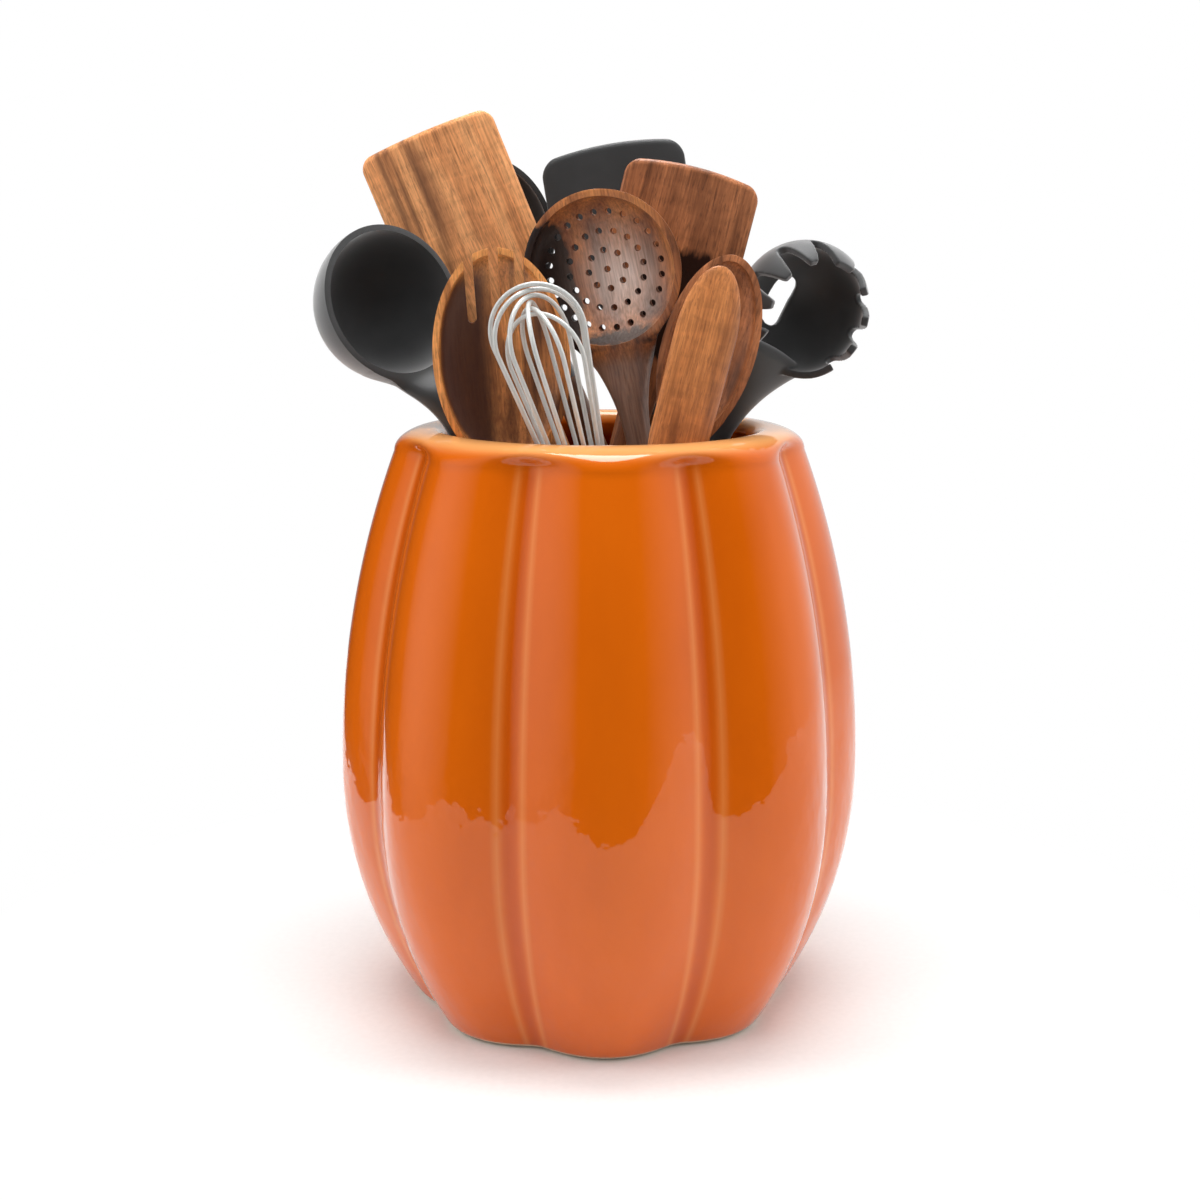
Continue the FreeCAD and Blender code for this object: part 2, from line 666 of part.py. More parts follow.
def blade_outline(tool):
    """A prism with the outline of the blade: straight sides, arched top and rounded corners."""
    body = doc.addObject("PartDesign::Body", tool + "_outline_body")
    sketch = body.newObject("Sketcher::SketchObject", tool + "_outline")
    sketch.AttachmentSupport = (origin_plane(body, "XZ_Plane"), "")
    sketch.MapMode = "FlatFace"
    arch = f"Sizes.{tool}_arch_radius"
    half = f"Sizes.{tool}_blade_width / 2"
    side_height = f"Sizes.{tool}_length - {arch} + sqrt({arch} ^ 2 - ({half}) ^ 2)"
    side, rise, bend = evaluate(half), evaluate(side_height), size(tool + "_arch_radius")
    spread = math.asin(side / bend)
    centre = Vector(0, size(tool + "_length") - bend, 0)
    circle = Part.Circle(centre, Vector(0, 0, 1), bend)
    sketch.addGeometry(Part.LineSegment(Vector(-side, 0, 0), Vector(side, 0, 0)), False)
    sketch.addGeometry(Part.LineSegment(Vector(side, 0, 0), Vector(side, rise, 0)), False)
    sketch.addGeometry(
        Part.ArcOfCircle(circle, math.pi / 2 - spread, math.pi / 2 + spread), False)
    sketch.addGeometry(Part.LineSegment(Vector(-side, rise, 0), Vector(-side, 0, 0)), False)
    for first, first_end, second, second_end in ((0, 2, 1, 1), (1, 2, 2, 1), (2, 2, 3, 1), (3, 2, 0, 1)):
        sketch.addConstraint(Sketcher.Constraint("Coincident", first, first_end, second, second_end))
    sketch.addConstraint(Sketcher.Constraint("PointOnObject", 0, 1, -1))
    sketch.addConstraint(Sketcher.Constraint("Symmetric", 0, 1, 0, 2, -1, 1))
    sketch.addConstraint(Sketcher.Constraint("Vertical", 1))
    sketch.addConstraint(Sketcher.Constraint("Vertical", 3))
    sketch.addConstraint(Sketcher.Constraint("PointOnObject", 2, 3, -2))
    for kind, first, first_end, second, second_end, value, expression in (
        ("DistanceX", 0, 1, 0, 2, 2 * side, f"Sizes.{tool}_blade_width"),
        ("DistanceY", -1, 1, 1, 2, rise, side_height),
    ):
        held = sketch.addConstraint(Sketcher.Constraint(kind, first, first_end, second, second_end, value))
        sketch.setExpression(f"Constraints[{held}]", expression)
    held = sketch.addConstraint(Sketcher.Constraint("Radius", 2, bend))
    sketch.setExpression(f"Constraints[{held}]", arch)
    pad = body.newObject("PartDesign::Pad", tool + "_outline_pad")
    pad.Profile = sketch
    pad.setExpression("Length", f"4 * Sizes.{tool}_end_radius")
    pad.Midplane = True
    doc.recompute()
    rounded = body.newObject("PartDesign::Fillet", tool + "_outline_corners")
    edges = []
    for index, edge in enumerate(pad.Shape.Edges, start=1):
        first, last = edge.firstVertex().Point, edge.lastVertex().Point
        if abs(first.z - rise) < size("seat_gap") and abs(first.x - last.x) + abs(first.z - last.z) == 0:
            edges.append(f"Edge{index}")
    rounded.Base = (pad, edges)
    rounded.setExpression("Radius", f"Sizes.{tool}_corner_radius")
    return body


def blade(tool, foot_sections):
    """A stem that widens into a blade, trimmed to its outline."""
    top = [(f"Sizes.{tool}_length + Sizes.cut_overrun",
            f"Sizes.{tool}_flare_half_width + Sizes.{tool}_tip_half_thickness",
            f"Sizes.{tool}_tip_half_thickness", "0")]
    trimmed = doc.addObject("Part::Common", tool + "_blade")
    trimmed.Base = stem(tool, foot_sections, top, "0")
    trimmed.Tool = blade_outline(tool)
    return trimmed


# Soft heads sit on turned wooden handles. A steel tang, half in the head and half in the handle, joins them.


def turned_handle(tool, top_height, top_radius):
    """A turned handle with a ball end and a bore for the tang in its top."""
    bore = "Sizes.tang_radius + Sizes.tang_clearance"
    bore_floor = f"{top_height} - Sizes.tang_length / 2 - Sizes.tang_end_gap"
    end_radius = f"Sizes.{tool}_end_radius"
    corners = [
        {"at": (0.0, -size(tool + "_end_radius")), "radius": "axis"},
        corner(end_radius, "base"),
        corner(top_radius, top_height),
        corner(bore, top_height),
        corner(bore, bore_floor),
        corner("axis", bore_floor),
    ]
    arcs = {0: {"centre": (0.0, 0.0), "clockwise": False, "radius": "axis", "height": "base"}}
    return turned_body(tool + "_handle", corners, arcs)


def tang_hole(tool):
    """The bore in a soft head."""
    return add(
        "Part::Cylinder", tool + "_tang_hole", Radius="Sizes.tang_radius + Sizes.tang_clearance",
        Height="Sizes.tang_length / 2 + Sizes.tang_end_gap + Sizes.cut_overrun",
        Placement__Base__z=f"Sizes.{tool}_length - Sizes.{tool}_collar_drop - Sizes.cut_overrun")


def soft_tool(tool, head_shape):
    """Head, tang and handle of a utensil with a soft head, leaned into the crock together."""
    collar = f"Sizes.{tool}_length - Sizes.{tool}_collar_drop"
    head = cut(tool + "_head", head_shape, tang_hole(tool))
    tang = add("Part::Cylinder", tool + "_tang", Radius="Sizes.tang_radius", Height="Sizes.tang_length")
    handle = turned_handle(tool, collar, f"Sizes.{tool}_collar_radius")
    doc.recompute()
    lean = stance(tool)[0]
    tang_foot = Vector(0, 0, evaluate(f"{collar} - Sizes.tang_length / 2"))
    head.Placement = lean
    handle.Placement = lean
    tang.Placement = lean.multiply(Placement(tang_foot, Rotation()))
    for made in (head, tang, handle):
        finish(made, made.Name)


def stand(made, tool):
    """Leans a one-piece utensil into the crock."""
    made.Placement = stance(tool)[0]
    finish(made, tool)


# Pasta server. Its bowl is turned about its own axis and curls in past its widest place.
# Fingers stand between U-shaped notches round its rim, and an oval hole drains its back.

NOTCH_ANGLES = (-28, 4, 36, 68, 112, 144, 176, 208)
CURL_SHARES = (0.0, 0.12, 0.26, 0.4, 0.54, 0.68, 0.82, 1.0)
BACK_TURN = math.radians(82)


def server_turned(tool, inset, overrun):
    """The bowl's outer form, or a smaller one inside it that runs straight on in front of the rim."""
    radius, depth = size(tool + "_bowl_radius") - inset, size(tool + "_bowl_depth") - inset
    curl = size(tool + "_rim_curl")
    start = -math.asin(curl / depth)
    rounds = [(radius * math.cos(start), -curl - overrun)] if overrun else []
    for share in CURL_SHARES:
        turn = start + (BACK_TURN - start) * share
        rounds.append((radius * math.cos(turn), depth * math.sin(turn)))
    middle, level = size(tool + "_bowl_set_back"), size(tool + "_length")
    circles = [Part.Wire(Part.makeCircle(reach, Vector(0, middle + back, level), Vector(0, 1, 0)))
               for reach, back in rounds]
    return Part.makeLoft(circles, True, False)


def server_cutters(tool):
    """U-shaped notches that run outwards through the rim, and the drain hole."""
    width, depth = size(tool + "_notch_width"), size(tool + "_notch_depth")
    over = size("cut_overrun")
    reach = size(tool + "_bowl_radius") + over
    inner = size(tool + "_bowl_radius") / 2
    half = width / 2
    straight = depth - half
    shapes = []
    for angle in NOTCH_ANGLES:
        slab = Part.makeBox(reach - inner, straight + over, width, Vector(inner, -over, -half))
        round_end = Part.makeCylinder(half, reach - inner, Vector(inner, straight, 0), Vector(1, 0, 0))
        notch = slab.fuse(round_end)
        notch.Placement = Placement(Vector(0, 0, 0), Rotation(Vector(0, 1, 0), -angle))
        shapes.append(notch)
    drain_half = size(tool + "_drain_width") / 2
    straight_half = size(tool + "_drain_length") / 2 - drain_half
    through = size(tool + "_rim_curl")
    corner_spot = Vector(-drain_half, through, -straight_half)
    drain = Part.makeBox(2 * drain_half, reach, 2 * straight_half, corner_spot)
    for side in (-1, 1):
        foot = Vector(0, through, side * straight_half)
        drain = drain.fuse(Part.makeCylinder(drain_half, reach, foot, Vector(0, 1, 0)))
    shapes.append(drain)
    cutters = Part.Compound(shapes)
    rim = size(tool + "_bowl_set_back") - size(tool + "_rim_curl")
    cutters.translate(Vector(0, rim, size(tool + "_length")))
    return cutters


def plain_shape(name, shape):
    """A document object that holds a shape made directly."""
    made = doc.addObject("Part::Feature", name)
    made.Shape = shape
    return made


def server_head(tool):
    """A bowl on its flared neck, hollowed, notched and drained."""
    outside = plain_shape(tool + "_outside", server_turned(tool, 0, 0))
    flared = stem(tool, collar_sections(tool), [], f"Sizes.{tool}_flare_set_back")
    blank = fuse(tool + "_blank", [outside, flared])
    inside = server_turned(tool, size(tool + "_bowl_wall"), size("cut_overrun"))
    bowl = cut(tool + "_bowl", blank, plain_shape(tool + "_inside", inside))
    return cut(tool + "_shape", bowl, plain_shape(tool + "_cutters", server_cutters(tool)))


# Skimmer. Rings of small round holes are drilled straight through its bowl.

HOLE_RING_COUNTS = (1, 8, 16, 24)


def skimmer_drills(tool):
    """One drill for each hole, ring by ring."""
    reach = size(tool + "_bowl_depth") + size("cut_overrun")
    drills = []
    for ring, count in enumerate(HOLE_RING_COUNTS):
        for turn in range(count):
            angle = 2 * math.pi * turn / count
            radius = ring * size(tool + "_hole_ring_step")
            foot = Vector(radius * math.cos(angle), size(tool + "_rim_set_back"),
                          size(tool + "_length") + radius * math.sin(angle))
            drills.append(Part.makeCylinder(size(tool + "_hole_radius"), reach, foot, Vector(0, 1, 0)))
    made = doc.addObject("Part::Feature", tool + "_drills")
    made.Shape = Part.Compound(drills)
    return made


# Slotted spoon. Three slots with round bottoms are open at the tip of its bowl.

SLOT_PLACES = (-1, 0, 1)


def spoon_slots(tool):
    """One cutter for each slot."""
    half = size(tool + "_slot_width") / 2
    depth = 2 * size(tool + "_bowl_depth")
    tip = size(tool + "_length") + size(tool + "_bowl_half_length")
    bottom = tip - size(tool + "_slot_length")
    shapes = []
    for place in SLOT_PLACES:
        middle = place * size(tool + "_slot_pitch")
        slab = Part.makeBox(2 * half, depth, size(tool + "_slot_length") + size("cut_overrun"),
                            Vector(middle - half, -depth / 2, bottom))
        round_end = Part.makeCylinder(half, depth, Vector(middle, -depth / 2, bottom), Vector(0, 1, 0))
        shapes.append(slab.fuse(round_end))
    made = doc.addObject("Part::Feature", tool + "_slots")
    made.Shape = Part.Compound(shapes)
    return made


# Whisk. Wire loops rise from a potting plug, which a ferrule holds on the spigot of a turned grip.

WIRE_LOOPS = 6


def loop_path(index):
    """Half angle of one loop: its root, the point where its leg meets the arc, and its centre height."""
    root_height = size("whisk_length") - size("whisk_root_drop")
    radius = size("whisk_loop_radius")
    top = size("whisk_length") - index * size("whisk_loop_step") - size("whisk_wire_radius")
    centre_height = top - radius
    root = Vector(size("whisk_root_radius"), 0, root_height)
    reach = math.hypot(root.x, root.z - centre_height)
    touch = math.atan2(root.z - centre_height, root.x) + math.acos(radius / reach)
    meet = Vector(radius * math.cos(touch), 0, centre_height + radius * math.sin(touch))
    return root, meet, centre_height


def mirrored(point):
    return Vector(-point.x, point.y, point.z)


def whisk_wire(index):
    """One wire: a leg, an arc over the top and the other leg."""
    root, meet, centre_height = loop_path(index)
    top = Vector(0, 0, centre_height + size("whisk_loop_radius"))
    root = root + (meet - root).normalize() * size("whisk_wire_radius")
    path = doc.addObject("Part::Feature", f"whisk_path_{index + 1}")
    path.Shape = Part.Wire([
        Part.LineSegment(root, meet).toShape(),
        Part.Arc(meet, top, mirrored(meet)).toShape(),
        Part.LineSegment(mirrored(meet), mirrored(root)).toShape(),
    ])
    section = add("Part::Circle", f"whisk_section_{index + 1}", Radius="Sizes.whisk_wire_radius")
    section.Placement = Placement(root, Rotation(Vector(0, 0, 1), meet - root))
    wire = doc.addObject("Part::Sweep", f"whisk_wire_{index + 1}")
    wire.Sections = [section]
    wire.Spine = (path, ["Edge1", "Edge2", "Edge3"])
    wire.Solid = True
    wire.Frenet = False
    return wire


def loop_turn(index):
    """Turn of one loop about the whisk's axis."""
    return Placement(Vector(0, 0, 0), Rotation(Vector(0, 0, 1), 180.0 * index / WIRE_LOOPS))


def wire_channels():
    """Channels through the potting plug, along the legs of the loops."""
    channel_radius = size("whisk_wire_radius") + size("whisk_wire_clearance")
    shapes = []
    for index in range(WIRE_LOOPS):
        root, meet, _ = loop_path(index)
        for foot, head in ((root, meet), (mirrored(root), mirrored(meet))):
            along = (head - foot).normalize()
            start = foot - along * size("cut_overrun")
            reach = 2 * size("cut_overrun") + size("whisk_plug_height") / along.z
            channel = Part.makeCylinder(channel_radius, reach, start, along)
            channel.Placement = loop_turn(index).multiply(channel.Placement)
            shapes.append(channel)
    made = doc.addObject("Part::Feature", "whisk_channels")
    made.Shape = Part.Compound(shapes)
    return made


def whisk():
    """Wires, plug, ferrule and grip, leaned into the crock together."""
    root = "Sizes.whisk_length - Sizes.whisk_root_drop"
    spigot_foot = f"{root} - Sizes.whisk_spigot_height"
    inner = "Sizes.whisk_plug_radius + Sizes.whisk_ferrule_clearance"
    rod = add("Part::Cylinder", "whisk_plug_rod", Radius="Sizes.whisk_plug_radius",
              Height="Sizes.whisk_plug_height", Placement__Base__z=root)
    plug = cut("whisk_plug", rod, wire_channels())
    ferrule = turned_body("whisk_ferrule", [
        corner(inner, spigot_foot),
        corner("Sizes.whisk_ferrule_radius", spigot_foot),
        corner("Sizes.whisk_ferrule_radius", f"{root} + Sizes.whisk_plug_height"),
        corner(inner, f"{root} + Sizes.whisk_plug_height"),
    ], {})
    handle = turned_body("whisk_handle", [
        {"at": (0.0, -size("whisk_end_radius")), "radius": "axis"},
        corner("Sizes.whisk_end_radius", "base"),
        corner("Sizes.whisk_ferrule_radius", spigot_foot),
        corner("Sizes.whisk_plug_radius", spigot_foot),
        corner("Sizes.whisk_plug_radius", root),
        corner("axis", root),
    ], {0: {"centre": (0.0, 0.0), "clockwise": False, "radius": "axis", "height": "base"}})
    doc.recompute()
    lean = stance("whisk")[0]
    for made in (plug, ferrule, handle):
        made.Placement = lean
        finish(made, made.Name)
    for index in range(WIRE_LOOPS):
        wire = whisk_wire(index)
        wire.Placement = lean.multiply(loop_turn(index))
        finish(wire, wire.Name)


soft_tool("ladle", soft_bowl_head("ladle", "ladle_shape"))
soft_tool("black_spoon", soft_bowl_head("black_spoon", "black_spoon_shape"))
soft_tool("soft_turner", blade("soft_turner", collar_sections("soft_turner")))
soft_tool("pasta_server", server_head("pasta_server"))
for turner in ("large_turner", "dark_turner"):
    stand(fuse(turner, [end_ball(turner), blade(turner, grip_sections(turner))]), turner)
stand(cut("skimmer", wooden_bowl_tool("skimmer", "skimmer_shape"), skimmer_drills("skimmer")), "skimmer")
stand(cut("slotted_spoon", wooden_bowl_tool("slotted_spoon", "slotted_spoon_shape"),
          spoon_slots("slotted_spoon")), "slotted_spoon")
stand(wooden_bowl_tool("wooden_spoon", "wooden_spoon"), "wooden_spoon")

spatula_tip = add(
    "Part::Ellipsoid", "narrow_spatula_tip", Radius1="Sizes.narrow_spatula_tip_rise",
    Radius2="Sizes.narrow_spatula_tip_half_width", Radius3="Sizes.narrow_spatula_tip_half_thickness",
    Placement__Base__z="Sizes.narrow_spatula_length - Sizes.narrow_spatula_tip_rise")
spatula_stem = stem("narrow_spatula", grip_sections("narrow_spatula"), [(
    "Sizes.narrow_spatula_length - Sizes.narrow_spatula_tip_rise", "Sizes.narrow_spatula_tip_half_width",
    "Sizes.narrow_spatula_tip_half_thickness", "0")], "0")
stand(fuse("narrow_spatula", [end_ball("narrow_spatula"), spatula_stem, spatula_tip]), "narrow_spatula")
whisk()

doc.recompute()

for made in doc.Objects:
    if "Invalid" in made.State or "Error" in made.State:
        raise RuntimeError(f"{made.Name} did not build: {made.State}")
for piece in pieces:
    if piece.Shape.isNull() or not piece.Shape.isValid():
        raise RuntimeError(f"{piece.Label} has no sound shape")
    if len(piece.Shape.Solids) != 1:
        raise RuntimeError(f"{piece.Label} has {len(piece.Shape.Solids)} solids")

os.makedirs("parts", exist_ok=True)
for piece in pieces:
    piece.Shape.exportStep(f"parts/{piece.Label}.step")
    print(f"{piece.Label}: {piece.Shape.Volume:.1f} mm3")
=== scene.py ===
import json
import math
import bpy
import numpy as np
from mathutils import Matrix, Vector


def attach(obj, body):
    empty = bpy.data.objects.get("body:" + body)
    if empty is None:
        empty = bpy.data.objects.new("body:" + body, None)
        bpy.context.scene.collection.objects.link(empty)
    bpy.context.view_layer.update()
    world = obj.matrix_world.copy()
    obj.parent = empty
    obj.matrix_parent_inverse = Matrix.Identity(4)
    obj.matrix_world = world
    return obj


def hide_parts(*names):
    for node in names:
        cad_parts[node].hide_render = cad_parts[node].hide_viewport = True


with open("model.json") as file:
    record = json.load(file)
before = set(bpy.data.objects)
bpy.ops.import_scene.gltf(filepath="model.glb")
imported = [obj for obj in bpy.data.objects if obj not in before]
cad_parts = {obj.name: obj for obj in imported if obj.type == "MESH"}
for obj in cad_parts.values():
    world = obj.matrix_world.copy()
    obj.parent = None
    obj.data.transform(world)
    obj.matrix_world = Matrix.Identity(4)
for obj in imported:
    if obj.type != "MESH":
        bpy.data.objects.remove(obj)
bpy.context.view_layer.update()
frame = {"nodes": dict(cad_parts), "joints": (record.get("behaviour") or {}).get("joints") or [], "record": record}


# Crock. Slip-cast stoneware with eight soft lobes, a rolled lip and a flat foot.
# It is dipped in a thick glossy orange glaze, which is wiped off the foot before firing.

def skin(name, rings, first, last):
    """A closed mesh over a grid of points: every row is a closed ring and joins the next row,
    and single points close the first and the last row. Faces are turned so that they look outwards."""
    rows, around = rings.shape[:2]
    points = np.vstack([np.reshape(first, (1, 3)), rings.reshape(-1, 3), np.reshape(last, (1, 3))])
    ring = np.arange(rows * around).reshape(rows, around) + 1
    beside = np.roll(ring, -1, axis=1)
    quads = np.stack([ring[:-1], beside[:-1], beside[1:], ring[1:]], axis=-1).reshape(-1, 4)
    start_fan = np.stack([np.zeros(around, int), beside[0], ring[0]], axis=-1)
    end_fan = np.stack([np.full(around, rows * around + 1), ring[-1], beside[-1]], axis=-1)
    corners = points[quads]
    halves = np.cross(corners[:, 1], corners[:, 2]) + np.cross(corners[:, 2], corners[:, 3])
    if np.einsum("ij,ij->", corners[:, 0], halves) < 0:
        quads, start_fan, end_fan = quads[:, ::-1], start_fan[:, ::-1], end_fan[:, ::-1]
    loops = np.concatenate([quads.ravel(), start_fan.ravel(), end_fan.ravel()])
    sizes = np.concatenate([np.full(len(quads), 4), np.full(2 * around, 3)])
    mesh = bpy.data.meshes.new(name)
    mesh.vertices.add(len(points))
    mesh.vertices.foreach_set("co", points.astype(np.float32).ravel())
    mesh.loops.add(len(loops))
    mesh.loops.foreach_set("vertex_index", loops.astype(np.int32))
    mesh.polygons.add(len(sizes))
    mesh.polygons.foreach_set("loop_start", (np.cumsum(sizes) - sizes).astype(np.int32))
    mesh.update(calc_edges=True)
    mesh.shade_smooth()
    return mesh


def piece(name, mesh, material, body, slot, *nodes):
    """Puts a mesh into the scene as a piece that rides on a body and stands for its CAD nodes."""
    made = bpy.data.objects.new(name, mesh)
    bpy.context.scene.collection.objects.link(made)
    mesh.materials.clear()
    mesh.materials.append(material)
    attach(made, body)
    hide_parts(*nodes)


def node(tree, kind, inputs, **settings):
    """A shader node with its settings, its values and the links into it."""
    made = tree.nodes.new(kind)
    for key, value in settings.items():
        setattr(made, key, value)
    for key, value in inputs.items():
        if isinstance(value, bpy.types.NodeSocket):
            tree.links.new(value, made.inputs[key])
        else:
            made.inputs[key].default_value = value
    return made


def ramp(tree, factor, stops):
    """A colour ramp through stops of position and colour."""
    made = node(tree, "ShaderNodeValToRGB", {"Fac": factor})
    band = made.color_ramp.elements
    while len(band) < len(stops):
        band.new(0.5)
    for element, (position, colour) in zip(band, stops):
        element.position = position
        element.color = colour
    return made.outputs["Color"]


def blend(tree, factor, first, second, how="MIX"):
    """Two colours mixed by a factor."""
    made = node(tree, "ShaderNodeMix", {0: factor, 6: first, 7: second}, data_type="RGBA", blend_type=how)
    return made.outputs[2]


def sums(tree, how, *values):
    """One sum of the given values."""
    return node(tree, "ShaderNodeMath", dict(enumerate(values)), operation=how).outputs[0]


def fresh_material(name):
    """A new material with only a Principled shader, and its tree."""
    material = bpy.data.materials.new(name)
    material.use_nodes = True
    tree = material.node_tree
    tree.nodes.clear()
    shader = node(tree, "ShaderNodeBsdfPrincipled", {})
    node(tree, "ShaderNodeOutputMaterial", {"Surface": shader.outputs[0]})
    return material, tree, shader


def noise(tree, place, scale, stretch, detail=2.0, bend=0.0):
    """Noise over a place that is stretched along its axes."""
    spread = node(tree, "ShaderNodeVectorMath", {0: place, 1: stretch}, operation="MULTIPLY")
    made = node(tree, "ShaderNodeTexNoise", {
        "Vector": spread.outputs[0], "Scale": scale, "Detail": detail, "Distortion": bend})
    return made.outputs["Fac"]


def glaze():
    """Glossy orange glaze, thinner and lighter on the lip and along the lobe edges, where a painted highlight is
    added too, wavy where it ran down and pooled below the belly, and bare clay on the foot ring. Inside the crock
    and in the grooves it is darkened as painted shade."""
    material, tree, shader = fresh_material("orange_glaze_coat")
    place = node(tree, "ShaderNodeTexCoord", {}).outputs["Object"]
    cloud = noise(tree, place, 26.0, (1.0, 1.0, 0.35), 3.0)
    body_colour = ramp(tree, cloud, [(0.30, (0.59, 0.100, 0.001, 1)), (0.72, (0.69, 0.128, 0.002, 1))])
    bare = node(tree, "ShaderNodeAttribute", {}, attribute_name="bare").outputs["Fac"]
    thin = node(tree, "ShaderNodeAttribute", {}, attribute_name="thin").outputs["Fac"]
    deep = node(tree, "ShaderNodeAttribute", {}, attribute_name="deep").outputs["Fac"]
    # Lighter orange on the lip and the lobe edges: thinner glaze, with a painted highlight in it.
    colour = blend(tree, thin, body_colour, (0.90, 0.46, 0.16, 1))
    # Painted shade: dark red inside the crock and in the grooves.
    colour = blend(tree, deep, colour, (0.36, 0.030, 0.004, 1))
    clay = ramp(tree, noise(tree, place, 900.0, (1.0, 1.0, 1.0)), [
        (0.35, (0.62, 0.47, 0.33, 1)), (0.65, (0.76, 0.62, 0.47, 1))])
    tree.links.new(blend(tree, bare, colour, clay), shader.inputs["Base Color"])
    tree.links.new(sums(tree, "SUBTRACT", 1.0, bare), shader.inputs["Coat Weight"])
    rough = ramp(tree, bare, [(0.0, (0.30, 0.30, 0.30, 1)), (1.0, (0.85, 0.85, 0.85, 1))])
    tree.links.new(rough, shader.inputs["Roughness"])
    shader.inputs["Specular IOR Level"].default_value = 0.04
    shader.inputs["Coat Roughness"].default_value = 0.03
    shader.inputs["Coat IOR"].default_value = 1.43
    level = node(tree, "ShaderNodeSeparateXYZ", {0: place}).outputs[2]
    pooled = ramp(tree, sums(tree, "MULTIPLY", level, 5.0), [
        (0.50, (1, 1, 1, 1)), (0.68, (0.06, 0.06, 0.06, 1))])
    runs = sums(tree, "MULTIPLY", noise(tree, place, 58.0, (1.0, 1.0, 0.65), 3.0), pooled)
    sag = sums(tree, "MULTIPLY_ADD", noise(tree, place, 24.0, (1.0, 1.0, 0.20), 1.0), 0.3, runs)
    bump = node(tree, "ShaderNodeBump", {"Height": sag, "Strength": 0.40, "Distance": 0.0022})
    tree.links.new(bump.outputs[0], shader.inputs["Coat Normal"])
    tree.links.new(bump.outputs[0], shader.inputs["Normal"])
    return material


lobe_turn = math.radians(2.4) - np.pi / 2


def lobe_swell(angle):
    """How far a lobe stands out: one on its crest and nothing in the grooves, eight times round the crock,
    as the size of a cosine that is rounded where it meets nothing."""
    soft = 0.22
    return (np.sqrt(np.cos(4 * angle) ** 2 + soft ** 2) - soft) / (np.sqrt(1 + soft ** 2) - soft)


crock_around, crock_outer_rings = 480, 148


def crock_rings(around):
    """Rings from the middle of the foot, up the lobed wall, over the lip and down to the middle of the
    floor. The wall's radius swells between groove and crest once for every lobe; both follow arcs that
    stand upright at the belly, and the grooves fade out under the lip."""
    height, belly, belly_height = 212.0, 95.0, 86.0
    shoulder, shoulder_radius, lip_radius = 204.0, 73.5, 60.6
    foot_radius, foot_round, groove_depth = 68.0, 3.0, 9.2
    fade_top, fade_height = 211.6, 6.5
    mouth_level, mouth_radius, lip_roll = 207.0, 55.0, 5.0
    hollow_belly, hollow_foot, floor_level = 79.0, 50.0, 9.0
    floor_edge, floor_middle = 47.0, 3.0

    def arc(level, end_radius, end_level, wide):
        """Radius on the circle that stands upright at the belly and passes through an end."""
        inset, rise = wide - end_radius, end_level - belly_height
        bend = (inset ** 2 + rise ** 2) / (2 * inset)
        return wide - bend + np.sqrt(bend ** 2 - (level - belly_height) ** 2)

    def crest(level):
        """Radius of the crests: one arc below the belly and another above it."""
        return np.where(level < belly_height, arc(level, foot_radius, 0.0, belly),
                        arc(level, shoulder_radius, shoulder, belly))

    foot_turn = np.linspace(0, np.pi / 2, 12)
    foot = foot_round * (1 - np.cos(foot_turn))
    wall = np.concatenate([foot, np.linspace(foot_round, shoulder, 110)[1:]])
    wall_crest = crest(wall)
    wall_crest[:len(foot)] -= foot_round * (1 - np.sin(foot_turn))
    depth = wall_crest * (0.85 + 0.15 * np.minimum(wall / belly_height, 1)) * groove_depth / belly
    over = np.linspace(0, np.pi / 2, 18)[1:]
    lip_level = shoulder + (height - shoulder) * np.sin(over)
    lip_crest = lip_radius + (shoulder_radius - lip_radius) * np.cos(over)
    lip_depth = shoulder_radius * groove_depth / belly * np.cos(over)
    level = np.concatenate([wall, lip_level])
    outer = np.concatenate([wall_crest, lip_crest])
    groove = np.concatenate([depth, lip_depth])
    fade = np.clip((fade_top - level) / fade_height, 0, 1)
    groove = groove * fade * fade * (3 - 2 * fade)
    angle = 2 * np.pi * np.arange(around) / around
    turned = angle + lobe_turn
    radius = outer[:, None] - groove[:, None] * (1 - lobe_swell(angle)[None])
    tall = np.repeat(level[:, None], around, axis=1)
    rings = np.stack([radius * np.cos(turned), radius * np.sin(turned), tall], axis=-1)
    flat = np.linspace(0.08, 0.96, 8)[:, None, None] * rings[0][None] * np.array((1, 1, 0))
    roll = np.linspace(np.pi / 2, np.pi, 12)
    inner = np.stack([mouth_radius + lip_roll + lip_roll * np.cos(roll),
                      mouth_level + lip_roll * np.sin(roll)], axis=-1)
    inner_level = np.concatenate([
        np.linspace(mouth_level, belly_height, 24)[1:], np.linspace(belly_height, floor_level, 16)[1:]])
    inner_radius = np.where(
        inner_level < belly_height, arc(inner_level, hollow_foot, floor_level, hollow_belly),
        arc(inner_level, mouth_radius, mouth_level, hollow_belly))
    floor_radius = np.linspace(floor_edge, floor_middle, 6)
    profile = np.concatenate([inner, np.stack([inner_radius, inner_level], axis=-1),
                              np.stack([floor_radius, np.full_like(floor_radius, floor_level)], axis=-1)])
    hollow = np.stack([
        profile[:, :1] * np.cos(turned), profile[:, :1] * np.sin(turned),
        np.repeat(profile[:, 1:], around, axis=1)], axis=-1)
    return np.concatenate([flat, rings, hollow]) / 1000


def paint(mesh, name, values):
    """One value for every point of a mesh, for its material to read."""
    layer = mesh.attributes.new(name, "FLOAT", "POINT")
    layer.data.foreach_set("value", np.clip(values, 0, 1).astype(np.float32))


def coordinates(mesh):
    """All points of a mesh as one array."""
    points = np.empty(len(mesh.vertices) * 3, np.float32)
    mesh.vertices.foreach_get("co", points)
    return points.reshape(-1, 3).astype(float)


def step(value, start, end):
    """A smooth step from nothing at the start to one at the end."""
    share = np.clip((value - start) / (end - start), 0, 1)
    return share * share * (3 - 2 * share)


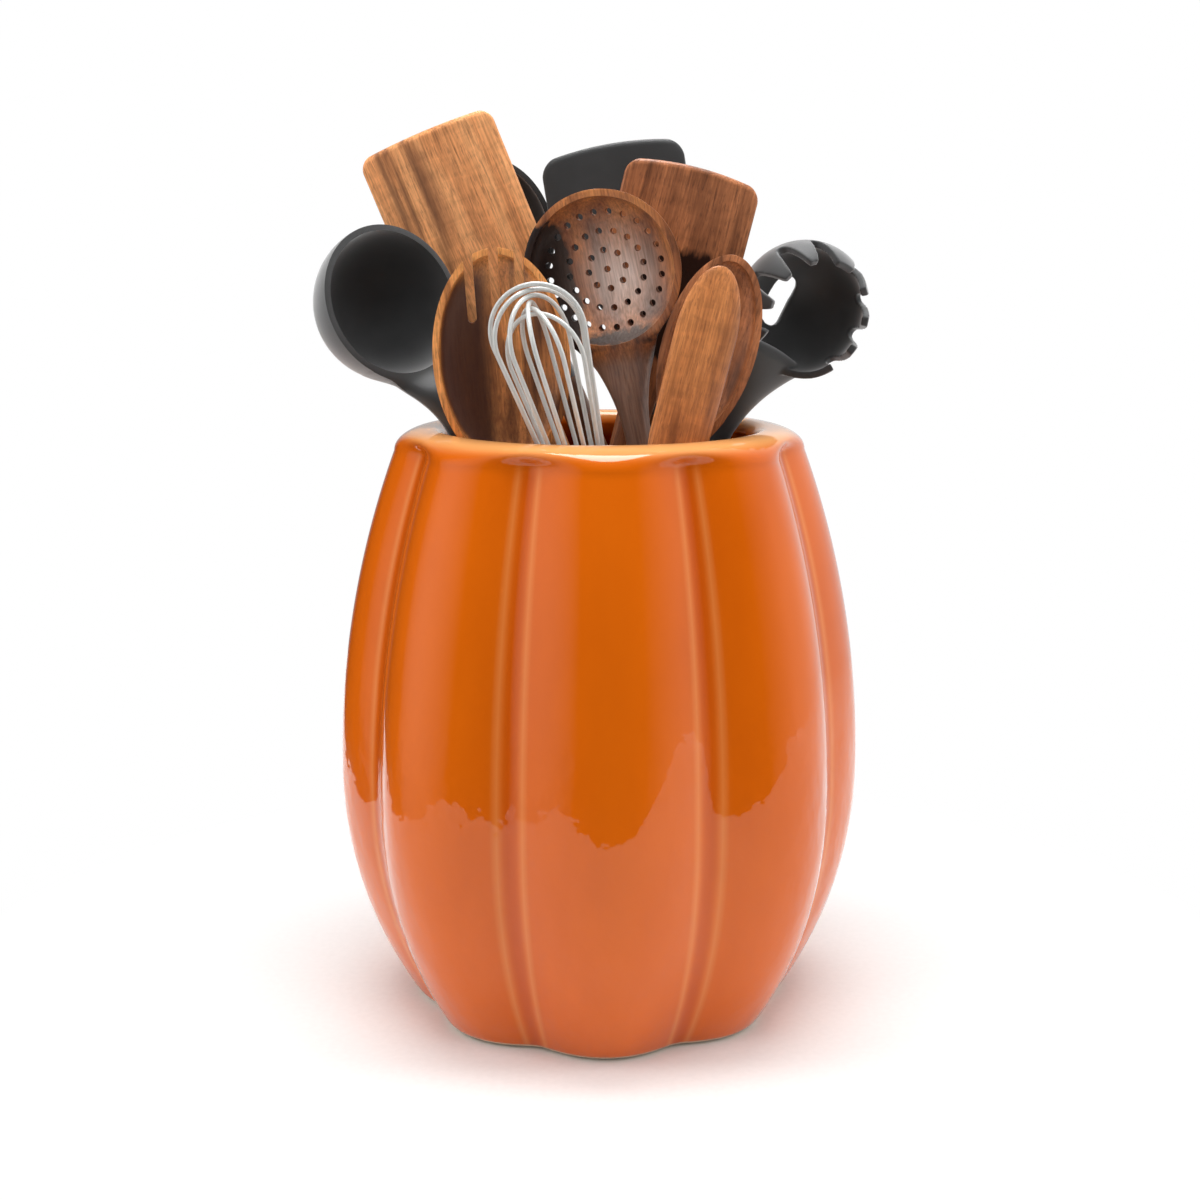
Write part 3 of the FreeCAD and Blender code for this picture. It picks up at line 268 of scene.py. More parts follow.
crock_mesh = skin("crock_glazed", crock_rings(crock_around), (0, 0, 0), (0, 0, 0.009))
crock_points = coordinates(crock_mesh)
crock_level = crock_points[:, 2]
crock_swell = lobe_swell(np.arctan2(crock_points[:, 1], crock_points[:, 0]) - lobe_turn)
crock_hollow = np.arange(len(crock_points)) > crock_around * crock_outer_rings
crock_wall = np.where(crock_hollow, 0, step(crock_level, 0.209, 0.200))
# Lobe edges beside the grooves and the lip crest are painted lighter, partly for thinner glaze and partly as a
# painted highlight; the grooves are painted darker as shade.
broken_edge = 0.22 * crock_wall * np.exp(-((crock_swell - 0.11) / 0.05) ** 2)
groove_pool = 0.34 * crock_wall * np.exp(-(crock_swell / 0.045) ** 2)
lip_edge = 0.75 * np.exp(-((crock_level - 0.2115) / 0.0022) ** 2)
paint(crock_mesh, "bare", (0.0021 - crock_level) / 0.0005)
paint(crock_mesh, "thin", broken_edge + lip_edge)
# Painted shade: the inside darkens below the mouth, and the grooves darken on the outside.
paint(crock_mesh, "deep", np.where(crock_hollow, (0.207 - crock_level) / 0.004, groove_pool))
piece("crock_glazed", crock_mesh, glaze(), "crock", "orange_glaze", "crock_body")


# Soup ladle. A deep bowl and its flared neck are moulded in one from matte charcoal silicone
# over a steel tang, which is glued into a turned wooden handle.

grip_ball = 6.0


def stance(tool, foot, turn):
    """Place of a utensil that stands in the crock: the middle of the ball that ends its grip, and its
    right, back and up directions, from the axis along which it lifts and the turn of its face."""
    up = np.array(next(j["axis"] for j in frame["joints"] if j["name"] == tool + "_lift"), float)
    up /= np.linalg.norm(up)
    back = np.array((0.0, 1.0, 0.0)) - up * up[1]
    back /= np.linalg.norm(back)
    right = np.cross(back, up)
    c, s = math.cos(math.radians(turn)), math.sin(math.radians(turn))
    points = coordinates(frame["nodes"][foot].data)
    lowest = points[np.argmin(points @ up)]
    return lowest + up * grip_ball / 1000, np.stack([right * c + back * s, back * c - right * s, up])


def top_level(head, place):
    """The highest level that a CAD node reaches along its utensil, in millimetres."""
    return float(((coordinates(frame["nodes"][head].data) - place[0]) @ place[1][2]).max()) * 1000


def lean(points, place):
    """Points of an upright utensil, in millimetres, moved to where it stands, in metres."""
    return place[0] + (np.asarray(points) / 1000) @ place[1]


def leaned_skin(name, made, place):
    """The closed mesh over an upright utensil's rings and end points, leaned to where it stands."""
    rings, first, last = made
    return skin(name, lean(rings, place), lean(first, place), lean(last, place))


def upright(mesh, place):
    """Every point's place in the upright utensil, in centimetres, for its material to read."""
    local = (coordinates(mesh) - place[0]) @ place[1].T * 100
    layer = mesh.attributes.new("local", "FLOAT_VECTOR", "POINT")
    layer.data.foreach_set("vector", local.astype(np.float32).ravel())
    return local * 10


def larger(first, second, soft):
    """The larger of two values, rounded where they meet."""
    share = np.clip(0.5 + 0.5 * (first - second) / soft, 0, 1)
    return second + (first - second) * share + soft * share * (1 - share)


def stem_sizes(level, grip, neck, flare):
    """Half width, half thickness and set-back of a stem at each level. The grip runs straight between its
    sections of level, half width and half thickness. From the neck to the flare the width and the set-back
    grow with the square of the way, and the thickness grows evenly; above the flare the stem fades."""
    grip = np.array(list(grip) + [neck])
    width = np.interp(level, grip[:, 0], grip[:, 1])
    thick = np.interp(level, grip[:, 0], grip[:, 2])
    share = np.clip((level - neck[0]) / (flare[0] - neck[0]), 0, 1)
    above = level >= neck[0]
    width = np.where(above, neck[1] + (flare[1] - neck[1]) * share ** 2, width)
    thick = np.where(above, neck[2] + (flare[2] - neck[2]) * share, thick)
    return width, thick, flare[3] * share ** 2


def spoon_rings(foot, grip, neck, flare, bowl, crown=0.7):
    """Rings of a spoon from its foot to its tip. Every ring lies across the handle: its back is half an
    ellipse, its front is the front of the stem or, in the bowl, a narrow crowned rim and the hollow.
    Stem and bowl are joined by the rounded larger of their widths and depths."""
    middle, half_width, half_length, depth, wall, edge, rim = bowl
    hollow_length, hollow_width = half_length - edge, half_width - edge
    low = middle - half_length
    stem = np.arange(foot, low - 0.5, 1.5)
    rise = np.linspace(-np.pi / 2, np.pi / 2, 90)
    tip = np.linspace(math.asin(hollow_length / half_length), np.pi / 2, 14)[1:-1]
    level = np.concatenate([stem, np.linspace(low - 0.4, middle - hollow_length, 8)[:-1],
                            middle + hollow_length * np.sin(rise), middle + half_length * np.sin(tip)])
    width, thick, back = stem_sizes(level, grip, neck, flare)
    fade = 1 - step(level, flare[0], flare[0] + 12.0)
    across = np.sqrt(np.clip(1 - ((level - middle) / half_length) ** 2, 0, None))
    inside = np.sqrt(np.clip(1 - ((level - middle) / hollow_length) ** 2, 0, None))
    outline = np.where(level < middle, larger(width * fade, half_width * across, 3.0), half_width * across)
    joined = step(level, low - 7.0, low + 5.0)
    edge_level = back + (rim - back) * joined
    front = -thick + (thick - crown) * joined
    front = front * np.where(level > middle, across, 1.0)
    stem_back = (back + thick) * fade + rim * (1 - fade)
    bowl_back = rim + depth * across
    deep = np.where(level < middle, larger(stem_back, bowl_back, 2.5), bowl_back)
    round_back = np.linspace(0, np.pi, 56)
    hollow_half = np.maximum(hollow_width * inside, 0.12 * outline)
    hollow_half = np.minimum(hollow_half, 0.97 * outline)
    strip = np.linspace(0, 1, 6)[1:-1]
    back_x = outline[:, None] * np.cos(round_back)
    back_y = edge_level[:, None] + (deep - edge_level)[:, None] * np.sin(round_back)
    left_x = -(outline[:, None] + (hollow_half - outline)[:, None] * strip)
    hollow_x = -hollow_half[:, None] * np.cos(np.linspace(0, np.pi, 44))
    front_x = np.concatenate([left_x, hollow_x, -left_x[:, ::-1]], axis=1)
    crowned = np.sqrt(np.clip(1 - (front_x / outline[:, None]) ** 2, 0, None))
    sunk = (depth - wall) * np.sqrt(np.clip(inside[:, None] ** 2 - (front_x / hollow_width) ** 2, 0, None))
    front_y = edge_level[:, None] + front[:, None] * crowned + sunk
    x = np.concatenate([back_x, front_x], axis=1)
    y = np.concatenate([back_y, front_y], axis=1)
    z = np.repeat(level[:, None], x.shape[1], axis=1)
    rings = np.stack([x, y, z], axis=-1)
    return rings, (0.0, back[0], foot), (0.0, rim, middle + half_length)


def silicone(name, tone):
    """Matte moulded silicone: charcoal, with faint cloudiness and a fine dusty grain."""
    material, tree, shader = fresh_material(name)
    place = node(tree, "ShaderNodeTexCoord", {}).outputs["Object"]
    cloud = noise(tree, place, 55.0, (1.0, 1.0, 1.0), 3.0)
    dark, light = [tuple(np.array(tone) * k) + (1,) for k in (0.82, 1.15)]
    tree.links.new(ramp(tree, cloud, [(0.3, dark), (0.7, light)]), shader.inputs["Base Color"])
    grain = noise(tree, place, 2600.0, (1.0, 1.0, 1.0), 2.0)
    rough = ramp(tree, grain, [(0.3, (0.46, 0.46, 0.46, 1)), (0.7, (0.58, 0.58, 0.58, 1))])
    tree.links.new(rough, shader.inputs["Roughness"])
    shader.inputs["Specular IOR Level"].default_value = 0.45
    shader.inputs["Sheen Weight"].default_value = 0.85
    shader.inputs["Sheen Roughness"].default_value = 0.45
    bump = node(tree, "ShaderNodeBump", {"Height": grain, "Strength": 0.12, "Distance": 0.0002})
    tree.links.new(bump.outputs[0], shader.inputs["Normal"])
    return material


charcoal = silicone("charcoal_silicone_matte", (0.036, 0.037, 0.038))


def silicone_head(name, tool, place, made):
    """A silicone head from its rings, as a piece that stands for its utensil's head; crisp edges stay."""
    mesh = leaned_skin(name, made, place)
    mesh.set_sharp_from_angle(angle=math.radians(50))
    piece(name, mesh, charcoal, tool, "charcoal_silicone", tool + "_head")


ladle_place = stance("ladle", "ladle_handle", 41.0)
ladle_length = top_level("ladle_head", ladle_place) - 28.0
silicone_head("ladle_bowl", "ladle", ladle_place, spoon_rings(
    ladle_length - 80.0, [(ladle_length - 80.0, 5.8, 5.8)], (ladle_length - 52.0, 5.8, 4.8),
    (ladle_length - 19.0, 19.0, 6.5, 13.0), (ladle_length, 27.5, 28.0, 31.0, 2.4, 2.2, 5.0)))


# Handles of the soft-headed utensils and of the whisk. Each is turned from acacia with a ball end
# and oiled; a steel tang, or the whisk's ferrule, sits at its upper end.

def wood_group():
    """Colour, roughness and relief of oiled wood whose grain runs along the third axis of the place, which is in
    centimetres: broad streaks, wavy growth rings, fibres, dark flecks and pores and a slow shimmer across them;
    masks darken the wood evenly, darken it in ragged patches, which are dark heartwood on one utensil and painted
    shade on others, and turn it pale, which is worn wood in places and a painted sheen in others."""
    group = bpy.data.node_groups.new("wood_grain", "ShaderNodeTree")
    face = group.interface
    face.new_socket("Place", in_out="INPUT", socket_type="NodeSocketVector")
    for name in ("Light", "Middle", "Dark"):
        face.new_socket(name, in_out="INPUT", socket_type="NodeSocketColor")
    for name in ("Streaks", "Stain", "Shade", "Wear"):
        face.new_socket(name, in_out="INPUT", socket_type="NodeSocketFloat")
    face.new_socket("Color", in_out="OUTPUT", socket_type="NodeSocketColor")
    face.new_socket("Roughness", in_out="OUTPUT", socket_type="NodeSocketFloat")
    face.new_socket("Height", in_out="OUTPUT", socket_type="NodeSocketFloat")
    entry = group.nodes.new("NodeGroupInput").outputs
    place = entry["Place"]
    broad = noise(group, place, 0.85, (1.0, 1.0, 0.10), 3.0, 0.5)
    sway = noise(group, place, 0.55, (1.0, 1.0, 0.22), 2.0)
    parts = node(group, "ShaderNodeSeparateXYZ", {0: place})
    lines = sums(group, "MULTIPLY_ADD", parts.outputs[1], 2.4, sums(group, "MULTIPLY", parts.outputs[0], 1.5))
    lines = sums(group, "MULTIPLY_ADD", sway, 5.5, lines)
    waves = sums(group, "SINE", sums(group, "MULTIPLY", lines, 3.2))
    tone = sums(group, "MULTIPLY_ADD", sums(group, "SUBTRACT", broad, 0.5), entry["Streaks"], 0.48)
    tone = sums(group, "MULTIPLY_ADD", waves, 0.10, tone)
    light_part = ramp(group, tone, [(0.40, (0, 0, 0, 1)), (0.66, (1, 1, 1, 1))])
    dark_part = ramp(group, tone, [(0.20, (1, 1, 1, 1)), (0.42, (0, 0, 0, 1))])
    colour = blend(group, light_part, entry["Middle"], entry["Light"])
    colour = blend(group, dark_part, colour, entry["Dark"])
    fibre = noise(group, place, 14.0, (1.0, 1.0, 0.04), 4.0)
    fibre_tone = ramp(group, fibre, [(0.30, (0.66, 0.62, 0.58, 1)), (0.70, (1.18, 1.18, 1.18, 1))])
    colour = blend(group, 1.0, colour, fibre_tone, "MULTIPLY")
    fleck = noise(group, place, 11.0, (1.0, 1.0, 0.16), 3.0)
    flecks = ramp(group, fleck, [(0.56, (0, 0, 0, 1)), (0.66, (1, 1, 1, 1))])
    colour = blend(group, sums(group, "MULTIPLY", flecks, 0.32), colour, entry["Dark"])
    pore = noise(group, place, 34.0, (1.0, 1.0, 0.07), 2.0)
    pores = ramp(group, pore, [(0.60, (0, 0, 0, 1)), (0.68, (1, 1, 1, 1))])
    colour = blend(group, sums(group, "MULTIPLY", pores, 0.45), colour, entry["Dark"])
    shimmer = noise(group, place, 1.6, (0.5, 0.5, 1.5), 2.0, 0.8)
    glow = ramp(group, shimmer, [(0.30, (0.86, 0.86, 0.86, 1)), (0.70, (1.12, 1.12, 1.12, 1))])
    colour = blend(group, 1.0, colour, glow, "MULTIPLY")
    # An even darkening by mask: dark streaks of grain on most utensils, painted shade over the slotted spoon's
    # hollow.
    colour = blend(group, entry["Shade"], colour, entry["Dark"])
    # Ragged dark patches: dark heartwood on the dark turner, painted shade on the skimmer and the wooden spoon.
    ragged = noise(group, place, 3.2, (1.0, 1.0, 0.25), 4.0, 0.7)
    stained = sums(group, "MULTIPLY_ADD", sums(group, "SUBTRACT", ragged, 0.5), 1.1, entry["Stain"])
    burnt = ramp(group, stained, [(0.38, (0, 0, 0, 1)), (0.66, (1, 1, 1, 1))])
    held = sums(group, "MINIMUM", sums(group, "MULTIPLY", entry["Stain"], 5.0), 1.0)
    scorched = blend(group, 1.0, entry["Dark"], (0.60, 0.52, 0.50, 1), "MULTIPLY")
    colour = blend(group, sums(group, "MULTIPLY", burnt, held), colour, scorched)
    # Pale tone: worn wood, and a painted sheen in the middle of the skimmer's bowl.
    pale = blend(group, 1.0, fibre_tone, (0.84, 0.71, 0.65, 1), "MULTIPLY")
    colour = blend(group, entry["Wear"], colour, pale)
    rough = ramp(group, fibre, [(0.3, (0.50, 0.50, 0.50, 1)), (0.7, (0.38, 0.38, 0.38, 1))])
    relief = sums(group, "MULTIPLY_ADD", pores, -0.6, sums(group, "MULTIPLY", fibre, 0.5))
    node(group, "NodeGroupOutput", {"Color": colour, "Roughness": rough, "Height": relief})
    return group


wood_grain = wood_group()


def wood(name, light, middle, dark, streaks=1.0, sheen=0.25, painted=True):
    """Oiled wood in three tones. Its grain and masks follow what is painted on a utensil, or else it runs
    upright."""
    material, tree, shader = fresh_material(name)
    made = node(tree, "ShaderNodeGroup", {}, node_tree=wood_grain)
    if painted:
        place = node(tree, "ShaderNodeAttribute", {}, attribute_name="local").outputs["Vector"]
        for key in ("Stain", "Shade", "Wear"):
            mask = node(tree, "ShaderNodeAttribute", {}, attribute_name=key.lower())
            tree.links.new(mask.outputs["Fac"], made.inputs[key])
    else:
        spot = node(tree, "ShaderNodeTexCoord", {}).outputs["Object"]
        place = node(tree, "ShaderNodeVectorMath", {0: spot, 1: (100, 100, 100)}, operation="MULTIPLY")
        place = place.outputs[0]
    tree.links.new(place, made.inputs["Place"])
    for key, colour in (("Light", light), ("Middle", middle), ("Dark", dark)):
        made.inputs[key].default_value = tuple(colour) + (1,)
    made.inputs["Streaks"].default_value = streaks
    tree.links.new(made.outputs["Color"], shader.inputs["Base Color"])
    tree.links.new(made.outputs["Roughness"], shader.inputs["Roughness"])
    shader.inputs["Coat Weight"].default_value = sheen
    shader.inputs["Coat Roughness"].default_value = 0.28
    bump = node(tree, "ShaderNodeBump", {
        "Height": made.outputs["Height"], "Strength": 0.30, "Distance": 0.0004})
    tree.links.new(bump.outputs[0], shader.inputs["Normal"])
    return material


handle_wood = wood(
    "handle_acacia", (0.26, 0.115, 0.048), (0.17, 0.070, 0.030), (0.045, 0.020, 0.011), painted=False)
for tool in ("ladle", "black_spoon", "soft_turner", "pasta_server", "whisk"):
    frame["nodes"][tool + "_handle"].material_slots[0].material = handle_wood


# Tangs, ferrule and potting plug. The tangs are drawn stainless steel rods and the ferrule is turned
# from the same steel; grey resin is poured into it round the ends of the wires.

def steel(name, tone, rough, metal=1.0):
    """Satin steel with fine lengthwise drawing lines; a dull coating takes some of its metal look."""
    material, tree, shader = fresh_material(name)
    place = node(tree, "ShaderNodeTexCoord", {}).outputs["Object"]
    lines = noise(tree, place, 1500.0, (1.0, 1.0, 0.04), 2.0)
    shade = [tuple(np.array(tone) * k) + (1,) for k in (0.92, 1.05)]
    tree.links.new(ramp(tree, lines, [(0.3, shade[0]), (0.7, shade[1])]), shader.inputs["Base Color"])
    dull = [(rough + more,) * 3 + (1,) for more in (-0.06, 0.06)]
    tree.links.new(ramp(tree, lines, [(0.3, dull[0]), (0.7, dull[1])]), shader.inputs["Roughness"])
    shader.inputs["Metallic"].default_value = metal
    return material


satin_steel = steel("satin_steel", (0.62, 0.62, 0.63), 0.34)
for name in ("ladle_tang", "black_spoon_tang", "soft_turner_tang", "pasta_server_tang", "whisk_ferrule"):
    frame["nodes"][name].material_slots[0].material = satin_steel
frame["nodes"]["whisk_plug"].material_slots[0].material = silicone("potting_resin_grey", (0.22, 0.22, 0.22))


# Large turner. One board of streaky acacia, carved in one piece and oiled: a slim grip with a ball end
# widens into a broad thin blade with an arched top.

def blade_rings(foot, ball, grip, neck, flare, top):
    """Rings of a turner from its foot to the top of its blade. A ring is a rounded oval, flatter in the
    blade, and bends with the arch of the top; the last rings draw in round the corners and the edge."""
    height, half, corner, arch, tip_thick = top
    start = np.linspace(-np.pi / 2, 0, 12)[1:-1] if ball else np.zeros(0)
    body = np.arange(foot if not ball else 0.0, height - corner, 1.6)
    close = corner * (1 - np.sin(np.linspace(0, np.pi / 2, 22)))[:-1]
    level = np.concatenate([ball * np.sin(start), body, height - close])
    width, thick, _ = stem_sizes(level, grip, neck, flare)
    share = np.clip((level - flare[0]) / (height - flare[0]), 0, 1)
    thick = np.where(level > flare[0], flare[2] + (tip_thick - flare[2]) * share, thick)
    width = -larger(-width, np.full_like(width, -half), 2.0)
    count = len(start)
    width[:count], thick[:count] = ball * np.cos(start), ball * np.cos(start)
    below = np.clip(height - level, 0, None)
    near = np.clip(corner - below, 0, None)
    width = width - corner + np.sqrt(np.clip(corner ** 2 - near ** 2, 0, None))
    width[:count] = ball * np.cos(start)
    thick = thick * np.sqrt(np.clip(1 - np.clip(1 - below / 2.0, 0, 1) ** 2, 0.0004, None))
    square = 2.0 + 1.2 * step(level, neck[0], flare[0])
    around = 2 * np.pi * np.arange(96) / 96
    c, s = np.cos(around)[None], np.sin(around)[None]
    power = (2 / square)[:, None]
    x = width[:, None] * np.sign(c) * np.abs(c) ** power
    y = thick[:, None] * np.sign(s) * np.abs(s) ** power
    sag = (arch - np.sqrt(arch ** 2 - x ** 2)) * step(level, flare[0] - 6.0, height - corner)[:, None]
    rings = np.stack([x, y, level[:, None] - sag], axis=-1)
    return rings, (0.0, 0.0, -ball if ball else foot), (0.0, 0.0, height)


def grip(radius, length):
    """Sections of a carved grip, from the middle of its end ball to its neck."""
    return [(length * share, radius * wide, radius * thick)
            for share, wide, thick in ((0.0, 1.0, 1.0), (0.35, 1.04, 0.96), (0.75, 0.98, 0.88))]


def frame_slot(node_name):
    """The record's material slot of a CAD node."""
    return next(s["material_slot"] for s in frame["record"]["subparts"] if s["node"] == node_name)


def carved(name, tool, place, made, material, **masks):
    """A one-piece wooden utensil from its rings, with its grain and its masks painted on."""
    finished(name, tool, place, leaned_skin(name, made, place), material, masks)


def finished(name, tool, place, mesh, material, masks):
    """A wooden mesh as a piece: crisp edges kept, grain and masks of right, back and up painted on."""
    mesh.name = name
    mesh.set_sharp_from_angle(angle=math.radians(55))
    local = upright(mesh, place)
    for mask, spread in masks.items():
        paint(mesh, mask, spread(*local.T))
    piece(name, mesh, material, tool, frame_slot(tool), tool)


large_place = stance("large_turner", "large_turner", -3.2)
large_top = top_level("large_turner", large_place)


def turner_streaks(x, y, z):
    """Four dark streaks that run up the left half of the board and sway a little."""
    x = x + 1.4 * np.sin((z - large_top) / 19) + 0.035 * (large_top - z)
    streaks = ((-18.5, 1.6, 0.75), (-14.8, 0.9, 0.80), (-8.0, 1.2, 0.90), (-5.2, 0.7, 0.60), (5.5, 2.6, 0.15))
    return sum(much * np.exp(-((x - at) / wide) ** 2) for at, wide, much in streaks)


carved("large_turner_board", "large_turner", large_place, blade_rings(
    0.0, grip_ball, grip(grip_ball, large_top - 106.0), (large_top - 106.0, 6.4, 4.6),
    (large_top - 52.0, 27.5, 3.0, 0.0), (large_top, 26.0, 5.0, 260.0, 2.0)),
    wood("acacia_streaked", (0.95, 0.445, 0.182), (0.87, 0.360, 0.134), (0.160, 0.062, 0.030), 0.9, 0.12),
    shade=turner_streaks)


# Round spoon. A shallow oval bowl of the same charcoal silicone, moulded over its steel tang;
# it stands behind the large turner.

black_place = stance("black_spoon", "black_spoon_handle", 0.7)
black_length = top_level("black_spoon_head", black_place) - 26.0
silicone_head("round_spoon_bowl", "black_spoon", black_place, spoon_rings(
    black_length - 62.0, [(black_length - 62.0, 5.5, 5.5)], (black_length - 50.0, 4.9, 4.1),
    (black_length - 18.0, 12.0, 3.2, 1.5), (black_length, 20.0, 26.0, 10.5, 2.6, 2.0, -3.0)))


# Soft turner. A flexible blade of charcoal silicone with an arched edge and rounded corners,
# moulded over the steel tang in its wooden handle.

soft_place = stance("soft_turner", "soft_turner_handle", -3.8)
soft_top = top_level("soft_turner_head", soft_place)
silicone_head("soft_turner_blade", "soft_turner", soft_place, blade_rings(
    soft_top - 100.0, 0.0, [(soft_top - 100.0, 5.5, 5.5)], (soft_top - 84.0, 5.0, 4.2),
    (soft_top - 40.0, 28.0, 2.6, 0.0), (soft_top, 26.5, 6.0, 120.0, 1.8)))


# Dark turner. One board of walnut, carved in one piece with its grip and oiled;
# a nearly black heart shows low in the blade.

walnut = wood("walnut_dark", (0.50, 0.185, 0.072), (0.31, 0.110, 0.043), (0.026, 0.009, 0.006), 1.2)
dark_place = stance("dark_turner", "dark_turner", 1.9)
dark_top = top_level("dark_turner", dark_place)
carved("dark_turner_board", "dark_turner", dark_place, blade_rings(
    0.0, grip_ball, grip(grip_ball, dark_top - 92.0), (dark_top - 92.0, 6.2, 4.6),
    (dark_top - 48.0, 26.0, 3.0, 0.0), (dark_top, 24.5, 5.0, 110.0, 2.0)), walnut,
    stain=lambda x, y, z: 1.1 * np.exp(-((x - 2) / 17) ** 4) * step(z, dark_top - 22, dark_top - 38)
    * step(z, dark_top - 82, dark_top - 58))


# Skimmer. A round shallow bowl, carved in one piece with its flared neck and grip from dark acacia
# and drilled with rings of small holes.

def drilled(mesh, cutters):
    """The mesh without the space of a closed cutter mesh."""
    made = bpy.data.objects.new("cut_base", mesh)
    tool = bpy.data.objects.new("cut_tool", cutters)
    for thing in (made, tool):
        bpy.context.scene.collection.objects.link(thing)
    change = made.modifiers.new("cut", "BOOLEAN")
    change.operation, change.object, change.solver = "DIFFERENCE", tool, "EXACT"
    bpy.context.view_layer.update()
    result = bpy.data.meshes.new_from_object(made.evaluated_get(bpy.context.evaluated_depsgraph_get()))
    for thing in (made, tool):
        bpy.data.objects.remove(thing)
    result.shade_smooth()
    return result


def prisms(outline, places, near, far):
    """Closed prisms along the second axis: one outline of points round each place, from near to far."""
    sides, count = len(outline), len(places)
    spots = places[:, None, :] + outline[None]
    ends = [np.stack([spots[..., 0], np.full(spots.shape[:2], y), spots[..., 1]], axis=-1)
            for y in (near, far)]
    points = np.concatenate([ends[0].reshape(-1, 3), ends[1].reshape(-1, 3)])
    ring = np.arange(count * sides).reshape(count, sides)
    beside, top = np.roll(ring, -1, axis=1), count * sides
    walls = np.stack([ring, ring + top, beside + top, beside], axis=-1).reshape(-1, 4)
    return points, walls.tolist() + ring.tolist() + (ring[:, ::-1] + top).tolist()


def cutter(name, points, faces, place):
    """A mesh for cutting, leaned with its utensil."""
    mesh = bpy.data.meshes.new(name)
    mesh.from_pydata(lean(points, place).tolist(), [], faces)
    return mesh


skimmer_place = stance("skimmer", "skimmer", -13.3)
skimmer_length = top_level("skimmer", skimmer_place) - 28.3


def whole_spoon(radius, neck, flare, bowl):
    """Rings of a carved spoon with its ball end, grip, neck and bowl."""
    rings, _, last = spoon_rings(0.0, grip(radius, neck[0]), neck, flare, bowl)
    turn = np.linspace(-np.pi / 2, 0, 12)[1:-1]
    ball = rings[:1] * np.cos(turn)[:, None, None] * np.array((1, 1, 0))
    ball = ball + (radius * np.sin(turn))[:, None, None] * np.array((0, 0, 1))
    return np.concatenate([ball, rings]), (0.0, 0.0, -radius), last


hole_angles = np.linspace(0, 2 * np.pi, 20, endpoint=False)
hole_radius, ring_step = 1.2, 6.8
hole_outline = hole_radius * np.stack([np.cos(hole_angles), np.sin(hole_angles)], axis=-1)
hole_rings = [(ring * ring_step, 2 * np.pi * np.arange(count) / count)
              for ring, count in enumerate((1, 8, 16, 24))]
hole_places = np.concatenate([
    np.stack([r * np.cos(a), skimmer_length + r * np.sin(a)], axis=-1) for r, a in hole_rings])
skimmer_blank = whole_spoon(
    grip_ball, (skimmer_length - 60.0, 4.9, 4.2), (skimmer_length - 19.0, 19.0, 4.0, 3.5),
    (skimmer_length, 28.3, 28.3, 13.0, 3.2, 2.4, -4.0))
skimmer_mesh = drilled(
    leaned_skin("skimmer_blank", skimmer_blank, skimmer_place),
    cutter("skimmer_drills", *prisms(hole_outline, hole_places, -8.0, 14.0), skimmer_place))


def skimmer_heart(x, y, z):
    """Painted shade: a dark left side of the bowl and a dark line along the foot of its hollow."""
    up = z - skimmer_length
    left = 1.15 * step(x, -8, -17) * step(up, 25, 14)
    return np.maximum(left, 0.7 * step(up, -17, -24) * step(up, -30, -26) * step(y, -6, -3))


finished("skimmer_carved", "skimmer", skimmer_place, skimmer_mesh, wood(
    "acacia_skimmer", (0.56, 0.205, 0.056), (0.34, 0.110, 0.034), (0.014, 0.005, 0.004), 1.2, 0.35),
    dict(stain=skimmer_heart,
         shade=lambda x, y, z: 0.60 * step(z, skimmer_length - 27, skimmer_length - 34),
         # Painted sheen: a pale patch in the middle of the bowl; the neck below is worn a little paler.
         wear=lambda x, y, z: 0.90 * np.exp(-((x - 4) / 12) ** 2 - ((z - skimmer_length + 4) / 16) ** 2)
         + 0.15 * step(z, skimmer_length - 27, skimmer_length - 34)))


# Slotted spoon. A long oval bowl, carved in one piece with its grip from acacia; three slots are sawn open through
# its tip. The left of its hollow is painted dark as shade, and dark streaks of grain run up its right.

slotted_place = stance("slotted_spoon", "slotted_spoon", 5.2)
slotted_length = top_level("slotted_spoon", slotted_place) - 38.0
slot_half, slot_step, slot_reach = 1.6, 8.6, 30.0
slot_turn = np.linspace(np.pi, 2 * np.pi, 12)
slot_outline = np.concatenate([
    np.stack([slot_half * np.cos(slot_turn), slot_half * np.sin(slot_turn)], axis=-1),
    np.array([(slot_half, slot_reach), (-slot_half, slot_reach)])])
slot_places = np.stack([
    slot_step * np.array((-1.0, 0.0, 1.0)), np.full(3, slotted_length + 14.0)], axis=-1)
slotted_blank = whole_spoon(
    grip_ball, (slotted_length - 68.0, 5.4, 4.6), (slotted_length - 26.0, 15.0, 3.8, 2.0),
    (slotted_length, 23.5, 38.0, 12.0, 3.2, 2.2, -4.0))
slotted_mesh = drilled(
    leaned_skin("slotted_blank", slotted_blank, slotted_place),
    cutter("slotted_saw", *prisms(slot_outline, slot_places, -14.0, 18.0), slotted_place))


def slotted_heart(x, y, z):
    """Painted shade over the left of the hollow, and two dark streaks of grain that run up its right."""
    up = z - slotted_length
    heart = 0.96 * step(x, 2, -7) * step(up, 40, 24)
    lines = sum(0.6 * np.exp(-((x - at - 0.05 * up) / 1.1) ** 2) for at in (4.5, 8.5))
    return (heart + lines) * step(y, -3.6, -1.5)


finished("slotted_spoon_carved", "slotted_spoon", slotted_place, slotted_mesh, wood(
    "acacia_slotted", (0.92, 0.390, 0.115), (0.70, 0.270, 0.078), (0.046, 0.011, 0.006), 1.2, 0.30),
    dict(shade=slotted_heart))


# Balloon whisk. Six loops of dull spring wire cross at the top, and their ends are potted
# in a steel ferrule on a turned wooden grip.

wire_steel = steel("whisk_wire_dull", (0.68, 0.69, 0.67), 0.42, 0.25)
for index in range(6):
    frame["nodes"][f"whisk_wire_{index + 1}"].material_slots[0].material = wire_steel


# Narrow spatula. A slim blade of medium acacia, carved in one piece with its grip;
# its tip is rounded and its face gently crowned.

